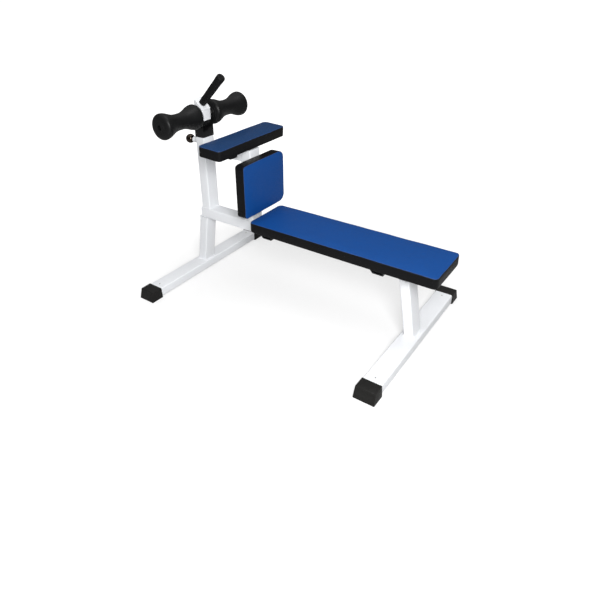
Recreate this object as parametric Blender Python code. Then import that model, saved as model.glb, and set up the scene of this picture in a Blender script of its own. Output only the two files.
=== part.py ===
"""Roman chair: a steel frame with a bench pad, a back pad, a knee pad and a height-adjustable roller head.

Metres, +Z up. +X runs from the roller head along the bench, and the frame is symmetric about Y = 0.
The origin lies on the floor at the middle of the object's box.
"""

import math

import bmesh
import bpy
from mathutils import Matrix, Vector

# Driving dimensions of the frame. Places along X are measured from the rear foot bar, then moved by REAR_X.
GAP = 0.0003
WALL = 0.0025
REAR_X = -0.70325
FRONT_X = REAR_X + 1.335
BAR_X, BAR_Z = 0.090, 0.050
BAR_BASE = 0.004
BAR_TOP = BAR_BASE + BAR_Z
BAR_HALF = 0.470
POST_X, POST_Y = 0.060, 0.080
LOWER_POST_X = 0.056
LOWER_LEAN = math.tan(math.radians(8.8))
FRONT_POST_X, FRONT_POST_Y = 0.049, 0.090
FRONT_LEAN = math.tan(math.radians(-9.2))
BEAM_TOP = 0.407
BEAM_Z = 0.060
BEAM_BASE = BEAM_TOP - BEAM_Z
BEAM_REAR = REAR_X + 0.037
BEAM_FRONT = REAR_X + 1.316
END_PLATE = 0.003
TUBE_CORNER = 0.006

# Foot caps: a skirt outside each foot bar's end, a plug inside it, and one screw.
CAP_INNER, CAP_TOP_Y, CAP_FOOT_Y = 0.412, 0.475, 0.489
CAP_TOP_X, CAP_FOOT_X = 0.0475, 0.0515
CAP_TOP = 0.057
CAP_PLUG_END = 0.368
CAP_PLUG_WALL = 0.004
CAP_EDGE = 0.0025
CAP_SCREW_Y = 0.382
CAP_SCREW_R, CAP_SCREW_HEAD_R = 0.0020, 0.0042
CAP_SCREW_LENGTH, CAP_SCREW_HEAD = 0.0125, 0.0022

# Upright column that carries the roller head, and its guide collar.
COLUMN_X = REAR_X + 0.074
COLUMN_TOP = 0.822
COLLAR_X, COLLAR_Y = 0.064, 0.084
COLLAR_TOP = 0.891
COLLAR_PLUG = 0.018
SLIDE_X, SLIDE_Y = 0.050, 0.056
SLIDE_CORNER = 0.005
SLIDE_BASE, SLIDE_TOP = 0.628, 0.958
HEAD_X, HEAD_Y = 0.056, 0.062
HEAD_BASE = 0.911
MITRE_Z = 0.995
AXLE_Z = 0.938
AXLE_R = 0.008
AXLE_CHAMFER = 0.001
SPACER_R = 0.014

# Rollers, turned about the axle.
ROLLER_IN, ROLLER_OUT = 0.050, 0.309
ROLLER_RIM, ROLLER_WAIST = 0.0670, 0.0425
ROLLER_DOME = 0.020
ROLLER_FACE_R = 0.034
RECESS_R, RECESS_DEPTH = 0.0135, 0.020
NUT_FLAT, NUT_THICK = 0.0110, 0.009
AXLE_END = ROLLER_OUT - RECESS_DEPTH + 0.012
SPIN_Y = 0.180

# Handle on the mitred top of the roller head.
HANDLE_TILT = math.radians(45.0)
HANDLE_LENGTH = 0.2105
HANDLE_BAR_R = 0.008
HANDLE_BAR_END = HANDLE_LENGTH - 0.020
GRIP_FOOT_R, GRIP_SHAFT_R, GRIP_END_R = 0.0195, 0.0218, 0.0230

# Locking pin. Distances run from the column's rear face towards the knob.
PIN_Z = 0.790
PIN_R = 0.005
HOLE_PITCH = 0.030
HOLE_COUNT = 5
HOLE_CLEARANCE = 0.001
BOSS_R, BOSS_MOUTH_R, BOSS_BORE_R = 0.0155, 0.0130, 0.0095
BOSS_FLOOR, BOSS_LID, BOSS_SIDE, BOSS_END = 0.005, 0.049, 0.050, 0.054
FLANGE_START, FLANGE_END, FLANGE_R = 0.006, 0.010, 0.0088
STEM_R, STEM_END = 0.0042, 0.074
KNOB_R, KNOB_CENTRE = 0.0255, 0.081
KNOB_COLLAR_START, KNOB_COLLAR_END, KNOB_COLLAR_R = 0.0570, 0.0600, 0.010
SPRING_R, SPRING_WIRE, SPRING_TURNS = 0.0070, 0.0007, 7

# Pads.
BOARD = 0.012
BOARD_SUNK = 0.0005
PAD_RIM = 0.006
SKIRT = 0.005
BENCH_X = (REAR_X + 0.4680, REAR_X + 1.4690)
BENCH_Y = 0.278
BENCH_TOP, BENCH_T = 0.4605, 0.0528
KNEE_X = (REAR_X + 0.2765, REAR_X + 0.4180)
KNEE_Y = 0.532
KNEE_TOP, KNEE_T = 0.862, 0.053
KNEE_TILT = math.radians(3.2)
BACK_FACE, BACK_T = REAR_X + 0.4767, 0.0555
BACK_Y = 0.333
BACK_Z = (0.4860, 0.7680)
PAD_CORNER = 0.024
UPRIGHT_FRONT = REAR_X + 0.418
ARM_Z = (0.736, 0.786)
WING_X, WING_Y, WING_Z = 0.066, 0.130, 0.020
WING_CUT, WING_SLANT = 0.004, 0.014
WING_PLACES = (REAR_X + 0.568, REAR_X + 1.187)
PLATE = 0.004
KNEE_BAR_REAR, KNEE_BAR_FRONT = KNEE_X[0] + 0.021, KNEE_X[0] + 0.061
KNEE_BAR_Y, KNEE_BAR_Z = 0.195, 0.012
KNEE_BRACKET_REAR, KNEE_BRACKET_HALF = KNEE_X[0] + 0.013, 0.025
KNEE_BRACKET_FRONTS = {"left": KNEE_X[1] - 0.006, "right": KNEE_X[1] - 0.040}
KNEE_BOLT_Y, KNEE_BOLT = 0.155, 0.034
BACK_BRACKET_Y, BACK_BRACKET_HALF = 0.110, 0.020
BACK_BRACKET_PLACES = (("lower", 0.575), ("upper", 0.695))
BOLT_R = 0.004
BOLT_HEAD_R, BOLT_HEAD = 0.0075, 0.0055
BOLT_Y = 0.085
BOLT_SHORT = 0.001
BACK_BOLT = BACK_FACE - BACK_T + BOARD - UPRIGHT_FRONT - BOLT_SHORT

# Pieces that move with the roller head.
HEAD_PIECES = ("slide_tube", "roller_head", "handle_plate", "handle_bar", "handle_grip", "roller_axle",
               "roller_spacer_left", "roller_spacer_right", "axle_nut_left", "axle_nut_right")


def clear_scene():
    for obj in list(bpy.data.objects):
        bpy.data.objects.remove(obj, do_unlink=True)


def material(name, colour, roughness, metallic=0.0):
    made = bpy.data.materials.new(name)
    made.use_nodes = True
    shader = made.node_tree.nodes["Principled BSDF"]
    shader.inputs["Base Color"].default_value = (*colour, 1.0)
    shader.inputs["Roughness"].default_value = roughness
    shader.inputs["Metallic"].default_value = metallic
    made.diffuse_color = (*colour, 1.0)
    return made


def finish(mesh_builder, name, finish_material, smooth=True):
    """Turns a bmesh into a named object whose round faces are shaded smooth."""
    bmesh.ops.recalc_face_normals(mesh_builder, faces=mesh_builder.faces)
    mesh = bpy.data.meshes.new(name)
    mesh_builder.to_mesh(mesh)
    mesh_builder.free()
    obj = bpy.data.objects.new(name, mesh)
    bpy.context.scene.collection.objects.link(obj)
    if finish_material is not None:
        mesh.materials.append(finish_material)
    if smooth:
        mesh.shade_smooth()
        mesh.set_sharp_from_angle(angle=math.radians(35.0))
    return obj


def add_block(bm, low, high):
    """One box between two corners. Returns its vertices."""
    size = Vector(high) - Vector(low)
    middle = (Vector(high) + Vector(low)) / 2
    matrix = Matrix.Translation(middle) @ Matrix.Diagonal((*size, 1.0))
    return bmesh.ops.create_cube(bm, size=1.0, matrix=matrix)["verts"]


def block(name, low, high, finish_material, bevel=0.0):
    bm = bmesh.new()
    add_block(bm, low, high)
    if bevel:
        bmesh.ops.bevel(bm, geom=bm.edges[:], offset=bevel, segments=2, profile=0.5,
                        affect="EDGES", material=-1)
    return finish(bm, name, finish_material)


def rounded_outline(width, depth, radius, steps=3):
    """Points of a rectangle with round corners, counter-clockwise about the origin."""
    points = []
    corners = ((1, 1, 0), (-1, 1, 90), (-1, -1, 180), (1, -1, 270))
    for sign_x, sign_y, start in corners:
        for step in range(steps + 1):
            angle = math.radians(start + 90 * step / steps)
            points.append((
                sign_x * (width / 2 - radius) + radius * math.cos(angle),
                sign_y * (depth / 2 - radius) + radius * math.sin(angle),
            ))
    return points


def add_loop(bm, outline, place):
    """Adds a closed loop of edges. place turns a point of the outline into a place in space."""
    verts = [bm.verts.new(place(*point)) for point in outline]
    return [bm.edges.new((a, b)) for a, b in zip(verts, verts[1:] + verts[:1])]


def pull(bm, faces, travel):
    """Extrudes faces along travel and returns the new vertices."""
    made = bmesh.ops.extrude_face_region(bm, geom=faces)["geom"]
    moved = [item for item in made if isinstance(item, bmesh.types.BMVert)]
    bmesh.ops.translate(bm, verts=moved, vec=Vector(travel))
    return moved


def edges_between(bm, verts):
    """The edges whose two ends are both among verts."""
    chosen = set(verts)
    return [edge for edge in bm.edges if all(vert in chosen for vert in edge.verts)]


def filled(bm, outline, place):
    """One flat face inside a closed outline."""
    return bmesh.ops.contextual_create(bm, geom=add_loop(bm, outline, place))["faces"]


def ringed(bm, outer, inner, place):
    """The flat faces between two closed outlines."""
    loops = [add_loop(bm, outline, place) for outline in (outer, inner)]
    return bmesh.ops.bridge_loops(bm, edges=loops[0] + loops[1])["faces"]


def rectangular_tube(name, size, start, travel, axis, finish_material, corner=TUBE_CORNER):
    """A hollow tube with square-cut open ends: its outline at start, pulled along travel.

    axis is the tube's own direction: with Z the size is (X, Y), with X it is (Y, Z), with Y it is (X, Z).
    """
    origin = Vector(start)
    placers = {
        "Z": lambda a, b: origin + Vector((a, b, 0)),
        "X": lambda a, b: origin + Vector((0, a, b)),
        "Y": lambda a, b: origin + Vector((a, 0, b)),
    }
    outer = rounded_outline(*size, corner)
    inner = rounded_outline(*[side - 2 * WALL for side in size], corner - WALL)
    bm = bmesh.new()
    pull(bm, ringed(bm, outer, inner, placers[axis]), travel)
    return finish(bm, name, finish_material)


def extruded(name, outline, place, travel, finish_material):
    """A solid prism: a closed outline pulled along travel."""
    bm = bmesh.new()
    pull(bm, filled(bm, outline, place), travel)
    return finish(bm, name, finish_material)


def turned(name, profile, centre, axis, finish_material, steps=24):
    """A solid of revolution. profile lists (distance along the axis, radius)."""
    direction = Vector(axis).normalized()
    side = direction.orthogonal().normalized()
    middle = Vector(centre)
    bm = bmesh.new()
    verts = [bm.verts.new(middle + direction * along + side * radius) for along, radius in profile]
    pairs = list(zip(verts, verts[1:]))
    if min(profile[0][1], profile[-1][1]) > 0:
        pairs.append((verts[-1], verts[0]))
    edges = [bm.edges.new(pair) for pair in pairs]
    bmesh.ops.spin(bm, geom=verts + edges, cent=middle, axis=direction, dvec=(0, 0, 0),
                   angle=math.tau, steps=steps, use_merge=True)
    bmesh.ops.remove_doubles(bm, verts=bm.verts, dist=1e-6)
    return finish(bm, name, finish_material)


def cutter(obj):
    """Makes obj a hidden cutting or joining shape."""
    obj.hide_render = True
    obj.display_type = "WIRE"
    return obj


def rod_cutter(name, centre, axis, start, end, radius, steps=20):
    profile = ((start, 0), (start, radius), (end, radius), (end, 0))
    return cutter(turned(name, profile, centre, axis, None, steps=steps))


def cut(target, *cutters):
    for tool in cutters:
        modifier = target.modifiers.new("cut_" + tool.name, "BOOLEAN")
        modifier.operation = "DIFFERENCE"
        modifier.solver = "EXACT"
        modifier.object = tool


def join(target, piece):
    modifier = target.modifiers.new("join_" + piece.name, "BOOLEAN")
    modifier.operation = "UNION"
    modifier.solver = "EXACT"
    modifier.object = piece


def turn_about_y(objects, pivot, angle):
    """Rotates whole objects about a line along Y, in their mesh."""
    matrix = (Matrix.Translation(Vector(pivot)) @ Matrix.Rotation(angle, 4, "Y")
              @ Matrix.Translation(-Vector(pivot)))
    for obj in objects:
        obj.data.transform(matrix)


def make_frame(paint):
    """The welded frame. Each tube is its own piece, with its ends a weld gap from its neighbour."""
    bars = {}
    for name, centre_x in (("rear_foot_bar", REAR_X), ("front_foot_bar", FRONT_X)):
        bar = rectangular_tube(name, (BAR_X, BAR_Z), (centre_x, -BAR_HALF, BAR_BASE + BAR_Z / 2),
                               (0, 2 * BAR_HALF, 0), "Y", paint)
        bars[name] = bar
    rise = BEAM_BASE - BAR_TOP - 2 * GAP
    rectangular_tube("lower_rear_post", (LOWER_POST_X, POST_Y), (REAR_X + 0.003, 0, BAR_TOP + GAP),
                     (rise * LOWER_LEAN, 0, rise), "Z", paint)
    rectangular_tube("front_post", (FRONT_POST_X, FRONT_POST_Y), (FRONT_X, 0, BAR_TOP + GAP),
                     (rise * FRONT_LEAN, 0, rise), "Z", paint)
    rectangular_tube("main_beam", (POST_Y, BEAM_Z), (BEAM_REAR, 0, BEAM_BASE + BEAM_Z / 2),
                     (BEAM_FRONT - BEAM_REAR, 0, 0), "X", paint)
    plates = (("beam_rear_plate", BEAM_REAR - GAP - END_PLATE), ("beam_front_plate", BEAM_FRONT + GAP))
    for name, face in plates:
        block(name, (face, -POST_Y / 2 + 0.001, BEAM_BASE + 0.001),
              (face + END_PLATE, POST_Y / 2 - 0.001, BEAM_TOP - 0.001), paint, 0.0008)
    column = rectangular_tube("column", (POST_X, POST_Y), (COLUMN_X, 0, BEAM_TOP + GAP),
                              (0, 0, COLUMN_TOP - BEAM_TOP - GAP), "Z", paint)
    rectangular_tube("pad_upright", (POST_X, POST_Y), (UPRIGHT_FRONT - POST_X / 2, 0, BEAM_TOP + GAP),
                     (0, 0, KNEE_TOP - KNEE_T - 2 * GAP - BEAM_TOP - PLATE), "Z", paint)
    arm_start = COLUMN_X + POST_X / 2 + GAP
    arm_end = UPRIGHT_FRONT - POST_X - GAP
    rectangular_tube("pad_arm", (POST_Y - 0.010, ARM_Z[1] - ARM_Z[0]), (arm_start, 0, sum(ARM_Z) / 2),
                     (arm_end - arm_start, 0, 0), "X", paint)
    return bars, column


def make_foot_caps(rubber, zinc, bars):
    """Four flared end caps, each with its plug inside the bar and one screw from above."""
    places = (("rear_left", "rear_foot_bar", REAR_X, -1), ("rear_right", "rear_foot_bar", REAR_X, 1),
              ("front_left", "front_foot_bar", FRONT_X, -1), ("front_right", "front_foot_bar", FRONT_X, 1))
    for label, bar_name, centre_x, side in places:
        bm = bmesh.new()
        for vert in add_block(bm, (-1, 0, 0), (1, 1, 1)):
            low = vert.co.z < 0.5
            half = CAP_FOOT_X if low else CAP_TOP_X
            outer = CAP_FOOT_Y if low else CAP_TOP_Y
            y = CAP_INNER if vert.co.y < 0.5 else outer
            vert.co = Vector((vert.co.x * half, y, 0 if low else CAP_TOP))
        outside = [edge for edge in bm.edges
                   if max(vert.co.y for vert in edge.verts) > CAP_INNER + 0.01]
        bmesh.ops.bevel(bm, geom=outside, offset=CAP_EDGE, segments=2, profile=0.5, affect="EDGES",
                        material=-1)
        cap = finish(bm, "foot_cap_" + label, rubber)
        slot = cap_slot("slot_" + label)
        plug = cap_plug("plug_" + label)
        cut(cap, slot)
        join(cap, plug)
        for obj in (cap, slot, plug):
            obj.data.transform(Matrix.Diagonal((1, side, 1, 1)))
            if side < 0:
                obj.data.flip_normals()
            obj.location.x = centre_x
        screw_place = (centre_x, side * CAP_SCREW_Y, BAR_TOP)
        screw_hole = rod_cutter("screw_hole_" + label, screw_place, (0, 0, -1), -2 * CAP_SCREW_HEAD,
                                CAP_SCREW_LENGTH + 0.003, CAP_SCREW_R + 0.0001 + GAP, steps=12)
        cut(cap, screw_hole)
        cut(bars[bar_name], screw_hole)
        cap_screw("foot_cap_screw_" + label, screw_place, zinc)


def cap_screw(name, place, zinc):
    """A low-headed screw driven down from place, with a pointed tip."""
    profile = ((-CAP_SCREW_HEAD, 0), (-CAP_SCREW_HEAD + GAP, 0.6 * CAP_SCREW_HEAD_R),
               (-GAP, CAP_SCREW_HEAD_R), (-GAP, CAP_SCREW_R), (CAP_SCREW_LENGTH - 0.0015, CAP_SCREW_R), (CAP_SCREW_LENGTH, 0))
    turned(name, profile, place, (0, 0, -1), zinc, steps=12)


def cap_slot(name):
    """The pocket that the foot bar's end fills in its cap."""
    bm = bmesh.new()
    add_block(bm, (-BAR_X / 2 - GAP, CAP_INNER - 0.02, BAR_BASE - GAP),
              (BAR_X / 2 + GAP, BAR_HALF + GAP, BAR_TOP + GAP))
    return cutter(finish(bm, name, None, smooth=False))


def cap_plug(name):
    """The cap's hollow plug, which fits inside the foot bar and is open at its inner end."""
    middle = BAR_BASE + BAR_Z / 2
    width, height = BAR_X - 2 * WALL - 2 * GAP, BAR_Z - 2 * WALL - 2 * GAP
    corner = TUBE_CORNER - WALL
    outer = rounded_outline(width, height, corner)
    inner = rounded_outline(width - 2 * CAP_PLUG_WALL, height - 2 * CAP_PLUG_WALL, 0.002)
    depth = BAR_HALF + 0.001 - CAP_PLUG_END
    bm = bmesh.new()
    ring = ringed(bm, outer, inner, lambda a, b: Vector((a, CAP_PLUG_END, middle + b)))
    pull(bm, ring, (0, depth, 0))
    return cutter(finish(bm, name, None, smooth=False))


def pad_cushion(name, size, thickness, centre, vinyl, board_material, board_name):
    """An upholstered pad lying flat, with a pocket underneath that holds its plywood board."""
    x, y = size
    base = Vector(centre)
    bm = bmesh.new()
    face = filled(bm, rounded_outline(x, y, PAD_CORNER, steps=4), lambda a, b: base + Vector((a, b, 0)))
    top = pull(bm, face, (0, 0, thickness))
    bmesh.ops.bevel(bm, geom=edges_between(bm, top), offset=PAD_RIM, segments=2, profile=0.5, affect="EDGES",
                    material=-1)
    cushion = finish(bm, name, vinyl)
    board_x, board_y = x - 2 * SKIRT - 2 * GAP, y - 2 * SKIRT - 2 * GAP
    board = extruded(board_name, rounded_outline(board_x, board_y, PAD_CORNER - SKIRT, steps=4),
                     lambda a, b: base + Vector((a, b, BOARD_SUNK)), (0, 0, BOARD), board_material)
    pocket_outline = rounded_outline(x - 2 * SKIRT, y - 2 * SKIRT, PAD_CORNER - SKIRT + GAP, steps=4)
    pocket = extruded(name + "_pocket", pocket_outline, lambda a, b: base + Vector((a, b, -BOARD)),
                      (0, 0, 2 * BOARD + BOARD_SUNK + GAP), None)
    cut(cushion, cutter(pocket))
    return cushion, board, pocket


def bolt(name, head_face, axis, length, zinc, holes_in):
    """A bolt whose head sits under head_face, and its clearance hole through every piece it passes."""
    profile = ((-BOLT_HEAD - GAP, 0), (-BOLT_HEAD - GAP, BOLT_HEAD_R), (-GAP, BOLT_HEAD_R), (-GAP, BOLT_R),
               (length, BOLT_R), (length, 0))
    turned(name, profile, head_face, axis, zinc, steps=12)
    hole = rod_cutter(name + "_hole", head_face, axis, -0.001, length + 2 * GAP, BOLT_R + GAP, steps=12)
    for piece in holes_in:
        cut(piece, hole)


def make_bench(vinyl, wood, black, zinc):
    centre = (sum(BENCH_X) / 2, 0, BENCH_TOP - BENCH_T)
    board = pad_cushion("bench_cushion", (BENCH_X[1] - BENCH_X[0], BENCH_Y), BENCH_T, centre, vinyl, wood,
                        "bench_board")[1]
    for place, centre_x in zip(("rear", "front"), WING_PLACES):
        for side, hand in ((-1, "left"), (1, "right")):
            bracket = wing(f"bench_bracket_{place}_{hand}", centre_x, side, black)
            bolt(f"bench_bolt_{place}_{hand}", (centre_x, side * BOLT_Y, BEAM_TOP - PLATE), (0, 0, 1),
                 PLATE + BOARD - BOLT_SHORT, zinc, (bracket, board))


def wing(name, centre_x, side, black):
    """A box-shaped bracket on one side of the beam. Its rear wall slants, and its bottom stops short."""
    half = WING_X / 2
    top, low = BEAM_TOP, BEAM_TOP - WING_Z
    outer = [(-half, top), (-half + WING_SLANT, low), (half, low), (half, top)]
    inner = [(-half + 1.5 * PLATE, top - PLATE), (-half + WING_SLANT + 0.6 * PLATE, low + PLATE),
             (half - PLATE, low + PLATE), (half - PLATE, top - PLATE)]
    start = POST_Y / 2 + GAP
    bm = bmesh.new()
    ring = ringed(bm, outer, inner, lambda a, b: Vector((centre_x + a, side * start, b)))
    for vert in pull(bm, ring, (0, side * (WING_Y - start), 0)):
        if vert.co.z < top - 2 * PLATE:
            vert.co.y -= side * WING_CUT
    return finish(bm, name, black)


def make_knee_pad(vinyl, wood, black, zinc):
    """The knee pad is made level, then tilted about its front lower edge."""
    low = KNEE_TOP - KNEE_T
    length = KNEE_X[1] - KNEE_X[0]
    centre = (sum(KNEE_X) / 2, 0, low)
    cushion, board, pocket = pad_cushion("knee_cushion", (length, KNEE_Y), KNEE_T, centre, vinyl, wood,
                                         "knee_board")
    pivot = (KNEE_X[1], 0, low)
    turn_about_y((cushion, board, pocket), pivot, KNEE_TILT)
    bar_base = ARM_Z[1] + GAP
    bar_top = bar_base + KNEE_BAR_Z
    bar = block("knee_cross_bar", (KNEE_BAR_REAR, -KNEE_BAR_Y, bar_base),
                (KNEE_BAR_FRONT, KNEE_BAR_Y, bar_top), black, 0.0015)
    bolt_x = (KNEE_BAR_REAR + KNEE_BAR_FRONT) / 2
    for side, hand in ((-1, "left"), (1, "right")):
        sides = (KNEE_BRACKET_REAR, KNEE_BRACKET_FRONTS[hand])
        outline = [(x, bar_top + GAP) for x in sides]
        outline += [(x, low - GAP + math.tan(KNEE_TILT) * (KNEE_X[1] - x)) for x in reversed(sides)]
        start = side * KNEE_BOLT_Y - KNEE_BRACKET_HALF
        wedge = extruded("knee_bracket_" + hand, outline, lambda a, b: Vector((a, start, b)),
                         (0, 2 * KNEE_BRACKET_HALF, 0), black)
        bolt("knee_bolt_" + hand, (bolt_x, side * KNEE_BOLT_Y, bar_base), (0, 0, 1), KNEE_BOLT, zinc,
             (bar, wedge, board))


def make_back_pad(vinyl, wood, black, zinc):
    """The back pad is made lying down, then stood up with its face towards +X."""
    height = BACK_Z[1] - BACK_Z[0]
    cushion, board, pocket = pad_cushion("back_cushion", (height, BACK_Y), BACK_T, (0, 0, 0), vinyl, wood,
                                         "back_board")
    rear = BACK_FACE - BACK_T
    stand = Matrix.Translation((rear, 0, sum(BACK_Z) / 2)) @ Matrix.Rotation(math.radians(90), 4, "Y")
    for obj in (cushion, board, pocket):
        obj.data.transform(stand)
    for label, z in BACK_BRACKET_PLACES:
        plate = block("back_bracket_" + label, (UPRIGHT_FRONT + GAP, -BACK_BRACKET_Y, z - BACK_BRACKET_HALF),
                      (rear - GAP, BACK_BRACKET_Y, z + BACK_BRACKET_HALF), black, 0.0008)
        bolt("back_bolt_" + label, (UPRIGHT_FRONT + GAP, BOLT_Y, z), (1, 0, 0), BACK_BOLT, zinc,
             (plate, board))


def make_roller_head(paint, black, plastic, rubber, steel, zinc, column):
    """The guide collar, the sliding tube, the mitred head, the axle with its two rollers, and the handle."""
    make_collar(plastic)
    slide = rectangular_tube("slide_tube", (SLIDE_X, SLIDE_Y), (COLUMN_X, 0, SLIDE_BASE),
                             (0, 0, SLIDE_TOP - SLIDE_BASE), "Z", black, corner=SLIDE_CORNER)
    head = rectangular_tube("roller_head", (HEAD_X, HEAD_Y), (COLUMN_X, 0, HEAD_BASE),
                            (0, 0, MITRE_Z - HEAD_BASE), "Z", paint, corner=0.004)
    for vert in head.data.vertices:
        if vert.co.z > MITRE_Z - 0.001:
            vert.co.z = MITRE_Z - (vert.co.x - COLUMN_X)
    normal = Vector((math.sin(HANDLE_TILT), 0, math.cos(HANDLE_TILT)))
    along = Vector((math.cos(HANDLE_TILT), 0, -math.sin(HANDLE_TILT)))
    half = HEAD_X / 2 / math.cos(HANDLE_TILT)
    middle = Vector((COLUMN_X, 0, MITRE_Z))
    plate_low = middle + normal * GAP
    extruded("handle_plate", rounded_outline(2 * half, HEAD_Y, 0.003, steps=2),
             lambda a, b: plate_low + along * a + Vector((0, b, 0)), normal * END_PLATE, paint)
    make_handle(middle + normal * (2 * GAP + END_PLATE), normal, steel, rubber)
    axle_hole = rod_cutter("axle_hole", (COLUMN_X, 0, AXLE_Z), (0, 1, 0), -0.05, 0.05, AXLE_R + GAP)
    cut(head, axle_hole)
    cut(slide, axle_hole)
    make_axle(black, rubber, steel, zinc)
    for step in range(HOLE_COUNT):
        place = (COLUMN_X - SLIDE_X / 2, 0, PIN_Z - step * HOLE_PITCH)
        hole = rod_cutter(f"pin_hole_{step}", place, (1, 0, 0), -0.006, 0.006, PIN_R + HOLE_CLEARANCE, steps=16)
        cut(slide, hole)
    make_pull_pin(paint, steel, plastic, zinc, column)


def make_axle(black, rubber, steel, zinc):
    """The axle through the head, with a spacer, a roller and a nut on each side."""
    centre = (COLUMN_X, 0, AXLE_Z)
    shoulder = AXLE_END - AXLE_CHAMFER
    ends = ((-AXLE_END, 0), (-AXLE_END, AXLE_R - AXLE_CHAMFER), (-shoulder, AXLE_R),
            (shoulder, AXLE_R), (AXLE_END, AXLE_R - AXLE_CHAMFER), (AXLE_END, 0))
    turned("roller_axle", ends, centre, (0, 1, 0), steel, steps=20)
    spacer_start, spacer_end = HEAD_Y / 2 + GAP, ROLLER_IN - 2 * GAP
    spacer = ((spacer_start, AXLE_R + GAP), (spacer_start, SPACER_R), (spacer_end, SPACER_R),
              (spacer_end, AXLE_R + GAP))
    for side, hand in ((-1, "left"), (1, "right")):
        turned("roller_" + hand, roller_profile(), centre, (0, side, 0), rubber, steps=32)
        turned("roller_spacer_" + hand, spacer, centre, (0, side, 0), zinc, steps=20)
        hex_nut("axle_nut_" + hand, side, black)


def make_collar(plastic):
    """A thick square ring on the column's top, with a plug below that guides the slide tube."""
    bm = bmesh.new()
    face = filled(bm, rounded_outline(COLLAR_X, COLLAR_Y, TUBE_CORNER), column_place(COLUMN_TOP + GAP))
    top = pull(bm, face, (0, 0, COLLAR_TOP - COLUMN_TOP - GAP))
    bmesh.ops.bevel(bm, geom=edges_between(bm, top), offset=0.002, segments=2, profile=0.5, affect="EDGES",
                    material=-1)
    collar = finish(bm, "guide_collar", plastic)
    low = COLUMN_TOP - COLLAR_PLUG
    clear = 2 * WALL + 2 * GAP
    plug_outline = rounded_outline(POST_X - clear, POST_Y - clear, TUBE_CORNER - WALL)
    plug = extruded("collar_plug", plug_outline, column_place(low), (0, 0, COLLAR_PLUG + 0.002), None)
    bore_outline = rounded_outline(SLIDE_X + 2 * GAP, SLIDE_Y + 2 * GAP, SLIDE_CORNER)
    bore = extruded("collar_bore", bore_outline, column_place(low - 0.01),
                    (0, 0, COLLAR_TOP - low + 0.02), None)
    join(collar, cutter(plug))
    cut(collar, cutter(bore))


def column_place(level):
    """Places an outline's points around the column's axis, at one level."""
    return lambda a, b: Vector((COLUMN_X + a, b, level))


def hex_nut(name, side, black):
    """A nut on the end of the axle, inside the roller's recess."""
    start = side * (ROLLER_OUT - RECESS_DEPTH + 2 * GAP)
    outer, inner = [], []
    for step in range(24):
        angle = math.tau * step / 24
        from_flat = (angle + math.pi / 6) % (math.pi / 3) - math.pi / 6
        reach = NUT_FLAT / math.cos(from_flat)
        outer.append((reach * math.cos(angle), reach * math.sin(angle)))
        inner.append(((AXLE_R + GAP) * math.cos(angle), (AXLE_R + GAP) * math.sin(angle)))
    bm = bmesh.new()
    ring = ringed(bm, outer, inner, lambda a, b: Vector((COLUMN_X + a, start, AXLE_Z + b)))
    pull(bm, ring, (0, side * NUT_THICK, 0))
    return finish(bm, name, black)


def roller_profile():
    """Inner face, hourglass side, domed outer end with the nut's recess, and the bore."""
    middle = (ROLLER_IN + ROLLER_OUT) / 2
    rim_at = (ROLLER_OUT - ROLLER_IN) / 2 - ROLLER_DOME
    bore = AXLE_R + 2 * GAP
    recess_floor = ROLLER_OUT - RECESS_DEPTH
    dome = []
    for step in range(5):
        angle = math.radians(90 * step / 4)
        dome.append((rim_at + ROLLER_DOME * math.cos(angle),
                     ROLLER_FACE_R + (ROLLER_RIM - ROLLER_FACE_R) * math.sin(angle)))
    points = [(ROLLER_IN, bore)]
    points += [(middle - along, radius) for along, radius in dome]
    for step in range(1, 12):
        t = -1 + step / 6
        swell = 0.5 - 0.5 * math.cos(math.pi * abs(t) ** 1.35)
        points.append((middle + rim_at * t, ROLLER_WAIST + (ROLLER_RIM - ROLLER_WAIST) * swell))
    points += [(middle + along, radius) for along, radius in reversed(dome)]
    points += [(ROLLER_OUT, RECESS_R), (recess_floor, RECESS_R), (recess_floor, bore)]
    return points


def make_handle(foot, direction, steel, rubber):
    """A bar stood on the handle plate, inside a grip that thickens to a rounded end."""
    end, length = HANDLE_BAR_END, HANDLE_LENGTH
    bar = ((0, 0), (0, HANDLE_BAR_R), (end - 0.001, HANDLE_BAR_R), (end, HANDLE_BAR_R - 0.001), (end, 0))
    turned("handle_bar", bar, foot, direction, steel, steps=16)
    bore = HANDLE_BAR_R + GAP
    start = 0.002
    grip = [(end + GAP, 0), (end + GAP, bore), (start, bore), (start, GRIP_FOOT_R), (0.006, GRIP_FOOT_R + 0.001),
            (0.100, GRIP_SHAFT_R), (0.172, GRIP_SHAFT_R + 0.0005), (0.184, GRIP_END_R - 0.0002)]
    grip += [(length - drop, GRIP_END_R - inset)
             for drop, inset in ((0.010, 0), (0.004, 0.0018), (0.001, 0.0060), (0, 0.0130))]
    grip.append((length, 0))
    turned("handle_grip", grip, foot, direction, rubber, steps=20)


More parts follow.
